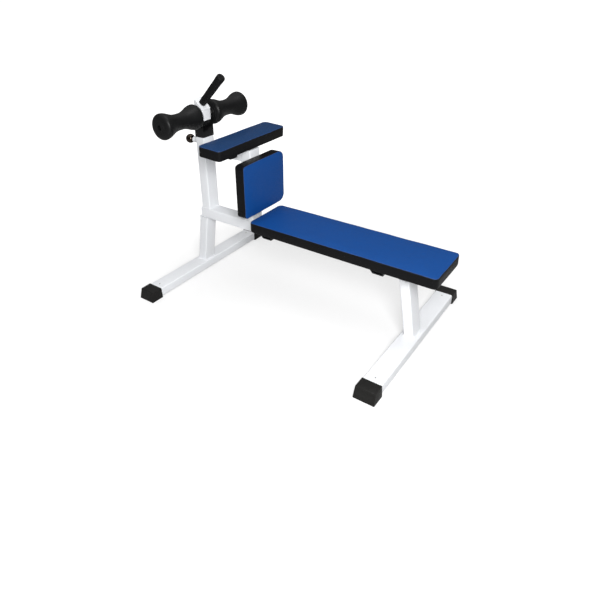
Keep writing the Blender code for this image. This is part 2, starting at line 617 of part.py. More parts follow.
def make_pull_pin(paint, steel, plastic, zinc, column):
    """Spring-loaded locking pin on the column's rear face."""
    face = (COLUMN_X - POST_X / 2, 0, PIN_Z)
    out = (-1, 0, 0)
    wall_hole = rod_cutter("pin_wall_hole", face, out, -0.008, 0.004, PIN_R + HOLE_CLEARANCE, steps=16)
    cut(column, wall_hole)
    boss = ((GAP, PIN_R + GAP), (GAP, BOSS_R), (BOSS_SIDE, BOSS_R), (BOSS_END, BOSS_MOUTH_R),
            (BOSS_END, STEM_R + 0.0004), (BOSS_LID, STEM_R + 0.0004), (BOSS_LID, BOSS_BORE_R),
            (BOSS_FLOOR, BOSS_BORE_R), (BOSS_FLOOR, PIN_R + GAP))
    turned("pin_housing", boss, face, out, paint, steps=24)
    tip = -(POST_X - SLIDE_X) / 2 + GAP
    pin = ((tip, 0), (tip, PIN_R - 0.001), (tip + 0.001, PIN_R), (FLANGE_START, PIN_R),
           (FLANGE_START, FLANGE_R), (FLANGE_END, FLANGE_R), (FLANGE_END, STEM_R), (STEM_END, STEM_R),
           (STEM_END, 0))
    turned("pull_pin", pin, face, out, steel, steps=16)
    turned("pull_pin_knob", knob_profile(), face, out, plastic, steps=24)
    make_spring("pin_spring", FLANGE_END + GAP, BOSS_LID - GAP, face, zinc)


def knob_profile():
    """A ball with a collar at its foot and a blind hole for the pin's stem."""
    stem = STEM_R + GAP
    points = [(STEM_END + GAP, 0), (STEM_END + GAP, stem), (KNOB_COLLAR_START, stem),
              (KNOB_COLLAR_START, KNOB_COLLAR_R)]
    start = math.acos((KNOB_CENTRE - KNOB_COLLAR_END) / KNOB_R)
    for step in range(9):
        angle = start + (math.pi - start) * step / 9
        points.append((KNOB_CENTRE - KNOB_R * math.cos(angle), KNOB_R * math.sin(angle)))
    points.append((KNOB_CENTRE + KNOB_R, 0))
    return points


def make_spring(name, start, end, face, zinc):
    """An open coil around the pin's stem, as a bevelled curve with closed ends."""
    curve = bpy.data.curves.new(name, "CURVE")
    curve.dimensions = "3D"
    curve.bevel_depth = SPRING_WIRE
    curve.bevel_resolution = 0
    curve.use_fill_caps = True
    steps = SPRING_TURNS * 12
    spline = curve.splines.new("POLY")
    spline.points.add(steps)
    for index, point in enumerate(spline.points):
        part = index / steps
        angle = math.tau * SPRING_TURNS * part
        along = start + SPRING_WIRE + (end - start - 2 * SPRING_WIRE) * part
        point.co = (face[0] - along, SPRING_R * math.cos(angle), face[2] + SPRING_R * math.sin(angle), 1)
    spring = bpy.data.objects.new(name, curve)
    bpy.context.scene.collection.objects.link(spring)
    curve.materials.append(zinc)


def place_origins():
    """Puts each moving piece's origin on its joint's axis, and leaves its shape where it is."""
    head = Vector((COLUMN_X, 0, AXLE_Z))
    pin = Vector((COLUMN_X - POST_X / 2, 0, PIN_Z))
    origins = {name: head for name in HEAD_PIECES}
    origins["roller_left"] = head - Vector((0, SPIN_Y, 0))
    origins["roller_right"] = head + Vector((0, SPIN_Y, 0))
    origins["pull_pin"] = origins["pull_pin_knob"] = pin
    for name, origin in origins.items():
        obj = bpy.data.objects[name]
        obj.data.transform(Matrix.Translation(-origin))
        obj.location = origin


def main():
    clear_scene()
    paint = material("white_paint", (0.85, 0.86, 0.88), 0.35)
    black = material("black_paint", (0.02, 0.02, 0.022), 0.35)
    plastic = material("black_plastic", (0.018, 0.018, 0.02), 0.25)
    rubber = material("black_rubber", (0.025, 0.026, 0.028), 0.6)
    vinyl = material("blue_vinyl", (0.014, 0.072, 0.268), 0.45)
    wood = material("plywood", (0.45, 0.32, 0.19), 0.7)
    steel = material("bright_steel", (0.55, 0.56, 0.58), 0.25, 1.0)
    zinc = material("zinc_plate", (0.6, 0.6, 0.58), 0.35, 1.0)
    bars, column = make_frame(paint)
    make_foot_caps(rubber, zinc, bars)
    make_bench(vinyl, wood, black, zinc)
    make_knee_pad(vinyl, wood, black, zinc)
    make_back_pad(vinyl, wood, black, zinc)
    make_roller_head(paint, black, plastic, rubber, steel, zinc, column)
    place_origins()


main()
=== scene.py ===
"""Looks for a roman chair: painted tubes, upholstered pads, rubber rollers, grip, locking pin and feet."""

import math

import bmesh
import bpy
from bpy.props import FloatProperty, FloatVectorProperty, IntProperty, PointerProperty
from mathutils import Matrix, Vector, noise
from mathutils.bvhtree import BVHTree


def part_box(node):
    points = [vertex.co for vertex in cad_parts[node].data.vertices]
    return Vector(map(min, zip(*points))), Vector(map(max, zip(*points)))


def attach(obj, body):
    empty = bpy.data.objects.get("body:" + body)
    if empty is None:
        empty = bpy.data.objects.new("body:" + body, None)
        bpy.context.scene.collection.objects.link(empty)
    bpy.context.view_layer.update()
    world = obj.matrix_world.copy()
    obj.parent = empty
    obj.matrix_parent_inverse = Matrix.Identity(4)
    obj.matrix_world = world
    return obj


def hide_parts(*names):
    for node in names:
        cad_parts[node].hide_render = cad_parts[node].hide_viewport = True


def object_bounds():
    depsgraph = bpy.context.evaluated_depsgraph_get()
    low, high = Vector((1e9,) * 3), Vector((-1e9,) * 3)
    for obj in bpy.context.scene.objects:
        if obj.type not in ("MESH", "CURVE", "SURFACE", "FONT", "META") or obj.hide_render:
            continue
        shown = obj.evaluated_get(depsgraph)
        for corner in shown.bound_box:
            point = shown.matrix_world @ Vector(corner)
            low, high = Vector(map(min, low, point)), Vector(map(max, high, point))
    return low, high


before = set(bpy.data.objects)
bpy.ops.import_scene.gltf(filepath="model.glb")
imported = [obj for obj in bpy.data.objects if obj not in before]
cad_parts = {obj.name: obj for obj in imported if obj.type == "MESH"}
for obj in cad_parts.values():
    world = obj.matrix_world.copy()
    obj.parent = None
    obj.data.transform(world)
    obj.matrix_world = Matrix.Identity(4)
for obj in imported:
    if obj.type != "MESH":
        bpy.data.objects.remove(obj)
CAD_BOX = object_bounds()

bl_info = {
    "name": "Roman Chair Looks",
    "version": (1, 0, 0),
    "blender": (4, 5, 0),
    "location": "3D View > Sidebar > Roman Chair",
    "description": "Builds the visible surfaces of a roman chair around its fixed frame",
    "category": "Object",
}

SMOOTH_ANGLE = math.radians(38.0)
X_AXIS, Y_AXIS, Z_AXIS = Vector((1, 0, 0)), Vector((0, 1, 0)), Vector((0, 0, 1))
LEVEL = Matrix.Identity(4)

# Level widths of the two leaning posts, across the lean.
REAR_POST_X, FRONT_POST_X = 0.056, 0.049
# Weld beads: pitch of the ripples, spacing of the points along a bead, and how round its face is.
WELD_PITCH, WELD_STEP, WELD_BULGE = 0.0034, 0.0016, 0.62
# Foot caps: where they start along the bar, and how much their top is smaller than their foot.
CAP_START_Y, CAP_TOP_IN, CAP_END_IN = 0.412, 0.004, 0.014
SCREW_RISE = 0.0022
# Backing cloth: its distance from the pad's edge, its half thickness and the spacing of its staples.
CLOTH_INSET, CLOTH_HALF, STAPLE_SPACING = 0.016, 0.0006, 0.032
# Rollers: bore, groove in the end face, lip round the nut's recess and depth of that recess.
ROLLER_BORE, ROLLER_GROOVE, ROLLER_LIP, RECESS_DEPTH = 0.0090, 0.0009, 0.0045, 0.020
COLLAR_CORNER, COLLAR_RIM, CLEARANCE = 0.006, 0.0024, 0.0003
GRIP_LENGTH, GRIP_BORE, GRIP_LIFT = 0.2105, 0.0083, 0.0018
GRIP_TAPER, GRIP_FLARE = (0.010, 0.174), (0.174, 0.186)
GRIP_FOOT_R, GRIP_NECK_R, GRIP_SWELL, GRIP_ROUND = 0.0195, 0.0220, 0.0009, 0.008
KNOB_COLLAR_R, KNOB_SOCKET_R = 0.0100, 0.0046
HOUSING_BEAD, HOUSING_MOUTH = 0.0030, 0.0042
# Stage: where each light stands, where it aims and its size.
KEY_LIGHT = ((1.62, -2.02, 1.92), (-0.1, 0.0, 0.4), 1.0)
TOP_LIGHT = ((-0.05, 0.0, 3.2), (0.0, 0.0, 0.2), 1.5)
FLOOR_HALF, BACKDROP = 30.0, 1.05


# Settings -------------------------------------------------

def length_setting(name, description, default):
    return FloatProperty(name=name, description=description, default=default, unit="LENGTH")


def number_setting(name, description, default):
    return FloatProperty(name=name, description=description, default=default)


def angle_setting(name, description, degrees):
    return FloatProperty(name=name, description=description, default=math.radians(degrees), subtype="ANGLE",
                         unit="ROTATION")


def colour_setting(name, description, default):
    return FloatVectorProperty(name=name, description=description, default=default, subtype="COLOR")


class TubeSettings(bpy.types.PropertyGroup):
    """Sizes of the painted tubes and their welds."""
    corner: length_setting("Corner radius", "Outside corner radius of the tubes", 0.006)
    weld_leg: length_setting("Weld leg", "Leg length of each weld bead", 0.0042)
    ripple: length_setting("Weld ripple", "Height of the ripples along a bead", 0.00025)
    white: colour_setting("White paint", "Colour of the powder coat", (0.80, 0.815, 0.84))
    black: colour_setting("Black paint", "Colour of the painted brackets", (0.007, 0.007, 0.008))


class PadSettings(bpy.types.PropertyGroup):
    """Sizes and colours of the upholstery."""
    voxel: length_setting("Voxel", "Size of the cover's mesh before it is inflated", 0.0058)
    pressure: number_setting("Pressure", "Air pressure that crowns the pads", 4.0)
    cap: length_setting("Swell limit", "Furthest that the cover may move as it swells", 0.0075)
    slack: length_setting("Slack", "How much smaller the foam is than the finished pad", 0.0008)
    trim: length_setting("Trim", "How far the foam reaches below the pad before it is cut flat", 0.0030)
    seam_drop: length_setting("Seam drop", "Height of the seam below the foam's upper face", 0.0016)
    piping: length_setting("Piping radius", "Radius of the welt sewn into the seam", 0.0010)
    stitch: length_setting("Stitch length", "Length of one stitch", 0.0042)
    knee_tilt: angle_setting("Knee pad tilt", "Tilt of the knee pad about its front edge", 3.2)
    blue: colour_setting("Blue vinyl", "Colour of the pad faces", (0.0062, 0.0600, 0.2480))
    dark: colour_setting("Black vinyl", "Colour of the pad sides", (0.0048, 0.0048, 0.0053))


class RollerSettings(bpy.types.PropertyGroup):
    """Sizes of the rollers, and the colours of rubber and knob."""
    waist: length_setting("Waist radius", "Radius at the middle of a roller", 0.0425)
    dome: length_setting("Dome depth", "Depth of a roller's rounded ends", 0.020)
    face: length_setting("Face radius", "Radius of the flat middle of a roller's end", 0.034)
    recess: length_setting("Recess radius", "Radius of the nut's recess", 0.0135)
    steps: IntProperty(name="Round steps", description="Facets round each roller", default=96)
    rubber: colour_setting("Rubber", "Colour of the rollers and the grip", (0.0060, 0.0062, 0.0065))
    knob: colour_setting("Knob", "Colour of the ball knob", (0.075, 0.058, 0.046))


class StageSettings(bpy.types.PropertyGroup):
    """Camera, lights and floor."""
    eye: FloatVectorProperty(name="Camera place", description="Where the camera stands", unit="LENGTH",
                             subtype="TRANSLATION", default=(1.3547, -2.0120, 1.6301))
    yaw: angle_setting("Yaw", "Turn of the camera about the vertical", 37.19)
    pitch: angle_setting("Pitch", "Tilt of the camera below the horizon", -26.56)
    roll: angle_setting("Roll", "Turn of the camera about its own axis", -1.646)
    lens: number_setting("Lens", "Focal length in millimetres", 31.83)
    shift: FloatVectorProperty(name="Shift", description="Lens shift for the framing", size=2,
                               default=(0.0418, -0.1138))
    key_power: number_setting("Key power", "Power of the soft light beside the camera", 98.0)
    top_power: number_setting("Top power", "Power of the overhead light", 14.0)
    sky: number_setting("Sky", "Strength of the light from all round", 0.50)
    floor_tone: number_setting("Floor tone", "How much light the floor paper sends back", 0.50)
    floor_glow: number_setting("Floor glow", "Brightness that lifts the paper near the machine", 0.47)


# Mesh helpers ---------------------------------------------

def centre_of(node):
    low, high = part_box(node)
    return (low + high) / 2


def finish_mesh(bm, name, *materials, smooth=True, turn_out=True):
    """Makes the bmesh a piece at the origin, with its faces pointing out and its round faces smooth."""
    if turn_out:
        bmesh.ops.recalc_face_normals(bm, faces=bm.faces)
    mesh = bpy.data.meshes.new(name)
    bm.to_mesh(mesh)
    bm.free()
    for made in materials:
        mesh.materials.append(made)
    if smooth:
        mesh.shade_smooth()
        mesh.set_sharp_from_angle(angle=SMOOTH_ANGLE)
    piece = bpy.data.objects.new(name, mesh)
    bpy.context.scene.collection.objects.link(piece)
    return piece


def settle(piece, body, slot, *nodes):
    """Says which body the piece rides on and which CAD nodes it stands for. The slot argument is not used."""
    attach(piece, body)
    if nodes:
        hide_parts(*nodes)
    return piece


def moved_verts(result):
    return [item for item in result["geom"] if isinstance(item, bmesh.types.BMVert)]


def round_plate(bm, width, depth, radius, segments=8, far_radius=None):
    """A flat face with round corners, centred on the origin in the XY plane. Those towards +Y may differ."""
    made = bmesh.ops.create_grid(bm, x_segments=1, y_segments=1, size=0.5)["verts"]
    bmesh.ops.scale(bm, vec=(width, depth, 1), verts=made)
    far = [vert for vert in made if vert.co.y > 0]
    near = [vert for vert in made if vert.co.y < 0]
    for verts, offset in ((near, radius), (far, far_radius or radius)):
        bmesh.ops.bevel(bm, geom=verts, offset=offset, segments=segments, profile=0.5, affect="VERTICES",
                        material=-1)
    return bm.faces[:]


def pull(bm, faces, travel):
    """Extrudes faces along travel and returns the new vertices."""
    top = moved_verts(bmesh.ops.extrude_face_region(bm, geom=faces))
    bmesh.ops.translate(bm, verts=top, vec=travel)
    return top


def soften_edges(bm, edges, width, segments=3):
    bmesh.ops.bevel(bm, geom=edges, offset=width, segments=segments, profile=0.5, affect="EDGES", material=-1,
                    clamp_overlap=True)


def basis(across, up, along, origin):
    """The matrix that puts local X, Y and Z along three directions, at their own lengths, from an origin."""
    matrix = Matrix.Identity(4)
    for column, direction in enumerate((across, up, along, origin)):
        for row in range(3):
            matrix[row][column] = direction[row]
    return matrix


def round_block(low, high, corner, rim=0.0, segments=6, far_corner=None):
    """A block standing on its lower face, with round upright corners and softened upper and lower rims."""
    low, high = Vector(low), Vector(high)
    size = high - low
    bm = bmesh.new()
    faces = round_plate(bm, size.x, size.y, corner, segments, far_corner)
    pull(bm, faces, (0, 0, size.z))
    if rim:
        bm.normal_update()
        rims = [edge for edge in bm.edges if abs(edge.verts[0].co.z - edge.verts[1].co.z) < size.z / 2]
        soften_edges(bm, rims, rim, 4)
    bmesh.ops.translate(bm, verts=bm.verts, vec=((low.x + high.x) / 2, (low.y + high.y) / 2, low.z))
    return bm


def turned(profile, centre, axis, steps):
    """A solid of revolution. profile lists (distance along the axis, radius)."""
    direction = Vector(axis).normalized()
    side = direction.orthogonal().normalized()
    middle = Vector(centre)
    bm = bmesh.new()
    verts = [bm.verts.new(middle + direction * along + side * radius) for along, radius in profile]
    pairs = list(zip(verts, verts[1:]))
    if min(profile[0][1], profile[-1][1]) > 0:
        pairs.append((verts[-1], verts[0]))
    edges = [bm.edges.new(pair) for pair in pairs]
    bmesh.ops.spin(bm, geom=verts + edges, cent=middle, axis=direction, dvec=(0, 0, 0), angle=math.tau,
                   steps=steps, use_merge=True)
    bmesh.ops.remove_doubles(bm, verts=bm.verts, dist=1e-6)
    return bm


def copy_of_node(node):
    """A closed bmesh copy of a CAD node's loose triangles, with its flat faces whole again."""
    bm = bmesh.new()
    bm.from_mesh(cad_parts[node].data)
    bmesh.ops.remove_doubles(bm, verts=bm.verts, dist=2e-5)
    bmesh.ops.dissolve_limit(bm, angle_limit=math.radians(0.6), verts=bm.verts, edges=bm.edges)
    return bm


def softened_node(node, made, body, slot, width=0.0006, segments=2):
    """The CAD node's own shape with its sharp edges softened."""
    piece = finish_mesh(copy_of_node(node), node + "_finished", made, turn_out=False)
    bevel = piece.modifiers.new("softened", "BEVEL")
    bevel.width = width
    bevel.segments = segments
    bevel.limit_method = "ANGLE"
    bevel.angle_limit = SMOOTH_ANGLE
    bevel.harden_normals = True
    bevel.miter_outer = "MITER_ARC"
    return settle(piece, body, slot, node)


# Shader helpers -------------------------------------------

def new_group(name, inputs, outputs):
    """An empty shader group with float or colour sockets."""
    group = bpy.data.node_groups.new(name, "ShaderNodeTree")
    for label, kind, default in inputs:
        socket = group.interface.new_socket(name=label, in_out="INPUT", socket_type=kind)
        if default is not None:
            socket.default_value = default
    for label, kind in outputs:
        group.interface.new_socket(name=label, in_out="OUTPUT", socket_type=kind)
    return group, group.nodes.new("NodeGroupInput"), group.nodes.new("NodeGroupOutput")


def put(tree, kind, inputs=(), **settings):
    """Adds a node. inputs pairs a socket's name or index with a value or with another node's output."""
    node = tree.nodes.new(kind)
    for key, value in settings.items():
        setattr(node, key, value)
    for key, value in dict(inputs).items():
        if isinstance(value, bpy.types.NodeSocket):
            tree.links.new(value, node.inputs[key])
        else:
            node.inputs[key].default_value = value
    return node


def maths(tree, operation, first, second=0.0, clamp=False):
    return put(tree, "ShaderNodeMath", {0: first, 1: second}, operation=operation, use_clamp=clamp).outputs[0]


def mix_colour(tree, factor, first, second, blend="MIX"):
    node = put(tree, "ShaderNodeMix", {"Factor": factor}, data_type="RGBA", blend_type=blend)
    for key, value in ((6, first), (7, second)):
        if isinstance(value, bpy.types.NodeSocket):
            tree.links.new(value, node.inputs[key])
        else:
            node.inputs[key].default_value = value
    return node.outputs[2]


def map_range(tree, value, low, high, to_low=0.0, to_high=1.0):
    node = put(tree, "ShaderNodeMapRange", {0: value, 1: low, 2: high, 3: to_low, 4: to_high},
               interpolation_type="SMOOTHSTEP")
    return node.outputs[0]


def rgba(colour):
    return (*colour, 1.0)


def grain_group():
    """Fine moulded or sprayed surface: a height and a slow patchiness, both over the object's own space."""
    group, inside, outside = new_group("Fine grain", [("Scale", "NodeSocketFloat", 600.0)],
                                       [("Height", "NodeSocketFloat"), ("Patches", "NodeSocketFloat")])
    place = put(group, "ShaderNodeTexCoord").outputs["Object"]
    fine = put(group, "ShaderNodeTexNoise", {"Vector": place, "Scale": inside.outputs["Scale"], "Detail": 3.0,
                                             "Roughness": 0.55})
    slow = put(group, "ShaderNodeTexNoise", {"Vector": place, "Scale": 9.0, "Detail": 4.0, "Roughness": 0.6})
    group.links.new(fine.outputs["Fac"], outside.inputs["Height"])
    group.links.new(slow.outputs["Fac"], outside.inputs["Patches"])
    return group


def vinyl_group():
    """Embossed vinyl: cells with creases between them and pores inside."""
    group, inside, outside = new_group("Vinyl grain", [("Scale", "NodeSocketFloat", 620.0)],
                                       [("Height", "NodeSocketFloat"), ("Crease", "NodeSocketFloat")])
    place = put(group, "ShaderNodeTexCoord").outputs["Object"]
    warp = put(group, "ShaderNodeTexNoise", {"Vector": place, "Scale": 210.0, "Detail": 2.0})
    shifted = put(group, "ShaderNodeVectorMath", {0: warp.outputs["Color"], 1: (0.0022, 0.0022, 0.0022)},
                  operation="MULTIPLY")
    moved = put(group, "ShaderNodeVectorMath", {0: place, 1: shifted.outputs[0]}, operation="ADD")
    cells = put(group, "ShaderNodeTexVoronoi", {"Vector": moved.outputs[0], "Scale": inside.outputs["Scale"]},
                feature="DISTANCE_TO_EDGE")
    crease = map_range(group, cells.outputs["Distance"], 0.0, 0.16)
    pores = put(group, "ShaderNodeTexNoise", {"Vector": place, "Scale": 2600.0, "Detail": 1.0})
    height = maths(group, "ADD", crease, maths(group, "MULTIPLY", pores.outputs["Fac"], 0.25))
    group.links.new(height, outside.inputs["Height"])
    group.links.new(crease, outside.inputs["Crease"])
    return group


def dust_group():
    """Dust on faces that look up and scuffs near the floor, as one mask."""
    group, inside, outside = new_group("Dust and scuffs", [("Amount", "NodeSocketFloat", 0.3)],
                                       [("Mask", "NodeSocketFloat")])
    place = put(group, "ShaderNodeTexCoord").outputs["Object"]
    facing = put(group, "ShaderNodeSeparateXYZ", {0: put(group, "ShaderNodeNewGeometry").outputs["Normal"]})
    up = map_range(group, facing.outputs["Z"], 0.2, 1.0)
    low = map_range(group, put(group, "ShaderNodeSeparateXYZ", {0: place}).outputs["Z"], 0.07, 0.0)
    specks = put(group, "ShaderNodeTexNoise", {"Vector": place, "Scale": 130.0, "Detail": 5.0,
                                               "Roughness": 0.7})
    clouds = put(group, "ShaderNodeTexNoise", {"Vector": place, "Scale": 14.0, "Detail": 3.0})
    broken = maths(group, "MULTIPLY", map_range(group, specks.outputs["Fac"], 0.42, 0.72),
                   map_range(group, clouds.outputs["Fac"], 0.35, 0.65))
    lying = maths(group, "MULTIPLY", maths(group, "MAXIMUM", up, low), broken)
    mask = maths(group, "MULTIPLY", lying, inside.outputs["Amount"], clamp=True)
    group.links.new(mask, outside.inputs["Mask"])
    return group


def weave_group():
    """Crossed threads of a thin backing cloth."""
    group, inside, outside = new_group("Cloth weave", [("Scale", "NodeSocketFloat", 900.0)],
                                       [("Height", "NodeSocketFloat")])
    place = put(group, "ShaderNodeTexCoord").outputs["Object"]
    waves = [put(group, "ShaderNodeTexWave", {"Vector": place, "Scale": inside.outputs["Scale"],
                                              "Distortion": 1.2}, bands_direction=side).outputs["Fac"]
             for side in ("X", "Y")]
    group.links.new(maths(group, "MAXIMUM", *waves), outside.inputs["Height"])
    return group


def scratches_group():
    """Thin drawn lines and wiped patches on bare metal."""
    group, inside, outside = new_group("Drawn metal", [("Scale", "NodeSocketFloat", 260.0)],
                                       [("Height", "NodeSocketFloat"), ("Wear", "NodeSocketFloat")])
    place = put(group, "ShaderNodeTexCoord").outputs["Object"]
    stretched = put(group, "ShaderNodeMapping", {"Vector": place, "Scale": (1.0, 0.12, 1.0)})
    lines = put(group, "ShaderNodeTexNoise", {"Vector": stretched.outputs[0], "Detail": 4.0,
                                              "Scale": inside.outputs["Scale"], "Roughness": 0.75})
    wiped = put(group, "ShaderNodeTexNoise", {"Vector": place, "Scale": 38.0, "Detail": 3.0})
    group.links.new(lines.outputs["Fac"], outside.inputs["Height"])
    group.links.new(map_range(group, wiped.outputs["Fac"], 0.35, 0.7), outside.inputs["Wear"])
    return group


def groups():
    """The shared shader groups, made once."""
    if "Fine grain" not in bpy.data.node_groups:
        for make in (grain_group, vinyl_group, dust_group, weave_group, scratches_group):
            make()
    return bpy.data.node_groups


def start_material(name, roughness, metallic=0.0, specular=0.5):
    made = bpy.data.materials.new(name)
    made.use_nodes = True
    tree = made.node_tree
    shader = tree.nodes["Principled BSDF"]
    shader.inputs["Roughness"].default_value = roughness
    shader.inputs["Metallic"].default_value = metallic
    shader.inputs["Specular IOR Level"].default_value = specular
    return made, tree, shader


def use_group(tree, name, **inputs):
    node = tree.nodes.new("ShaderNodeGroup")
    node.node_tree = groups()[name]
    for key, value in inputs.items():
        node.inputs[key].default_value = value
    return node.outputs


def bump(tree, shader, height, strength, distance):
    made = put(tree, "ShaderNodeBump", {"Height": height, "Strength": strength, "Distance": distance})
    tree.links.new(made.outputs[0], shader.inputs["Normal"])


def coated(name, colour, roughness, grain, peel, dust, dust_colour, patch=0.06, specular=0.5):
    """Paint, plastic or rubber: grain in the surface, slow patches in its gloss, and dust on it."""
    made, tree, shader = start_material(name, roughness, specular=specular)
    fine = use_group(tree, "Fine grain", Scale=grain)
    dusty = use_group(tree, "Dust and scuffs", Amount=dust)
    darker = tuple(channel * (1 - patch) for channel in colour)
    lighter = tuple(min(1.0, channel * (1 + patch)) for channel in colour)
    base = mix_colour(tree, fine["Patches"], rgba(darker), rgba(lighter))
    tree.links.new(mix_colour(tree, dusty["Mask"], base, rgba(dust_colour)), shader.inputs["Base Color"])
    gloss = map_range(tree, fine["Patches"], 0.3, 0.7, roughness * 0.86, roughness * 1.16)
    tree.links.new(maths(tree, "ADD", gloss, maths(tree, "MULTIPLY", dusty["Mask"], 0.35), clamp=True),
                   shader.inputs["Roughness"])
    bump(tree, shader, fine["Height"], 0.5, peel)
    return made


def metal(name, colour, roughness, wear_colour, grain=260.0):
    """Bare or plated metal with drawn lines and wiped patches."""
    made, tree, shader = start_material(name, roughness, 1.0)
    drawn = use_group(tree, "Drawn metal", Scale=grain)
    worn = mix_colour(tree, drawn["Wear"], rgba(colour), rgba(wear_colour))
    tree.links.new(worn, shader.inputs["Base Color"])
    tree.links.new(map_range(tree, drawn["Height"], 0.3, 0.7, roughness * 0.75, roughness * 1.3),
                   shader.inputs["Roughness"])
    bump(tree, shader, drawn["Height"], 0.25, 0.00008)
    return made


def vinyl(name, face_colour, side_colour):
    """Pad cover: its face colour above the seam, its side colour below it, with the face colour darkened in
    the creases of its grain as painted shade.
    """
    made, tree, shader = start_material(name, 0.46, specular=0.10)
    grain = use_group(tree, "Vinyl grain", Scale=620.0)
    fine = use_group(tree, "Fine grain", Scale=90.0)
    dusty = use_group(tree, "Dust and scuffs", Amount=0.06)
    height = put(tree, "ShaderNodeAttribute", attribute_name="above_seam").outputs["Fac"]
    on_face = map_range(tree, height, -0.00015, 0.00015)
    blue = mix_colour(tree, fine["Patches"], rgba([c * 0.90 for c in face_colour]),
                      rgba([c * 1.10 for c in face_colour]))
    # Painted shade: the face colour drops to 80% in the creases between the grain's cells.
    crease_shaded_blue = mix_colour(tree, grain["Crease"], rgba([c * 0.80 for c in face_colour]), blue)
    dark = mix_colour(tree, fine["Patches"], rgba([c * 0.8 for c in side_colour]),
                      rgba([c * 1.3 for c in side_colour]))
    cover = mix_colour(tree, on_face, dark, crease_shaded_blue)
    dusted = mix_colour(tree, dusty["Mask"], cover, (0.05, 0.07, 0.12, 1.0))
    tree.links.new(dusted, shader.inputs["Base Color"])
    gloss = map_range(tree, fine["Patches"], 0.3, 0.7, 0.36, 0.48)
    tree.links.new(maths(tree, "ADD", gloss, maths(tree, "MULTIPLY", grain["Crease"], -0.05)),
                   shader.inputs["Roughness"])
    surface = maths(tree, "ADD", grain["Height"], maths(tree, "MULTIPLY", fine["Height"], 0.6))
    bump(tree, shader, surface, 0.42, 0.00022)
    return made


def cloth(name, colour):
    made, tree, shader = start_material(name, 0.85)
    weave = use_group(tree, "Cloth weave", Scale=420.0)
    fine = use_group(tree, "Fine grain", Scale=500.0)
    tree.links.new(mix_colour(tree, weave["Height"], rgba([c * 0.6 for c in colour]), rgba(colour)),
                   shader.inputs["Base Color"])
    bump(tree, shader, maths(tree, "ADD", weave["Height"], fine["Height"]), 0.5, 0.0003)
    return made


def finishes():
    """Every material of the machine by a maker's name, made once."""
    if "White powder coat" in bpy.data.materials:
        return {name: bpy.data.materials[label] for name, label in FINISH_NAMES.items()}
    scene = bpy.context.scene
    tubes, pads, rollers = scene.roman_tubes, scene.roman_pads, scene.roman_rollers
    coated(FINISH_NAMES["white"], tubes.white, 0.34, 520.0, 0.00016, 0.10, (0.50, 0.49, 0.47), 0.012)
    soft_dust = (0.055, 0.056, 0.058)
    # The welt's blue is greyed from the face blue to stand for the faint light line along the seam: a painted
    # highlight on a real welt.
    welt_highlight_blue = [channel * 0.7 + 0.012 for channel in pads.blue]
    coated(FINISH_NAMES["black"], tubes.black, 0.34, 700.0, 0.00012, 0.10, soft_dust, 0.10, 0.22)
    jet = (0.0030, 0.0030, 0.0033)
    coated(FINISH_NAMES["plastic"], jet, 0.16, 900.0, 0.00005, 0.04, soft_dust, 0.08, 0.30)
    coated(FINISH_NAMES["rubber"], rollers.rubber, 0.40, 1500.0, 0.00022, 0.06, soft_dust, 0.16, 0.18)
    coated(FINISH_NAMES["grip"], rollers.rubber, 0.48, 1900.0, 0.00020, 0.05, soft_dust, 0.14, 0.13)
    coated(FINISH_NAMES["foot"], (0.0095, 0.0092, 0.0085), 0.50, 1100.0, 0.00030, 0.26, soft_dust, 0.18, 0.18)
    # Dark oxide finish, kept this dark as painted shade for the rollers' nut recesses.
    metal(FINISH_NAMES["oxide"], (0.030, 0.029, 0.028), 0.38, (0.055, 0.052, 0.050), 420.0)
    vinyl(FINISH_NAMES["vinyl"], pads.blue, pads.dark)
    # Painted shade: the knee pad takes a greyer, darker copy of the same vinyl, standing for the duller light
    # on its top.
    shaded_blue = [channel * wear for channel, wear in zip(pads.blue, (1.30, 0.66, 0.50))]
    vinyl(FINISH_NAMES["shaded vinyl"], shaded_blue, pads.dark)
    coated(FINISH_NAMES["welt"], welt_highlight_blue, 0.34, 1400.0, 0.00010, 0.05, soft_dust, 0.10)
    coated(FINISH_NAMES["thread"], (0.020, 0.020, 0.023), 0.6, 3000.0, 0.00010, 0.05, soft_dust, 0.20)
    cloth(FINISH_NAMES["backing"], (0.020, 0.020, 0.022))
    metal(FINISH_NAMES["steel"], (0.56, 0.57, 0.59), 0.26, (0.46, 0.47, 0.49))
    metal(FINISH_NAMES["zinc"], (0.62, 0.62, 0.60), 0.34, (0.48, 0.47, 0.44), 420.0)
    metal(FINISH_NAMES["knob"], rollers.knob, 0.16, [c * 0.55 for c in rollers.knob], 120.0)
    return finishes()


FINISH_NAMES = {
    "white": "White powder coat", "black": "Black satin paint", "plastic": "Black moulded plastic",
    "rubber": "Black roller rubber", "grip": "Black grip rubber", "foot": "Black foot rubber",
    "vinyl": "Two-tone vinyl", "shaded vinyl": "Two-tone vinyl, painted shade", "welt": "Blue welt",
    "thread": "Black thread", "backing": "Black backing cloth",
    "steel": "Bright steel", "zinc": "Zinc plate", "knob": "Dark nickel", "oxide": "Black oxide with painted recess shade",
}


# Frame ----------------------------------------------------

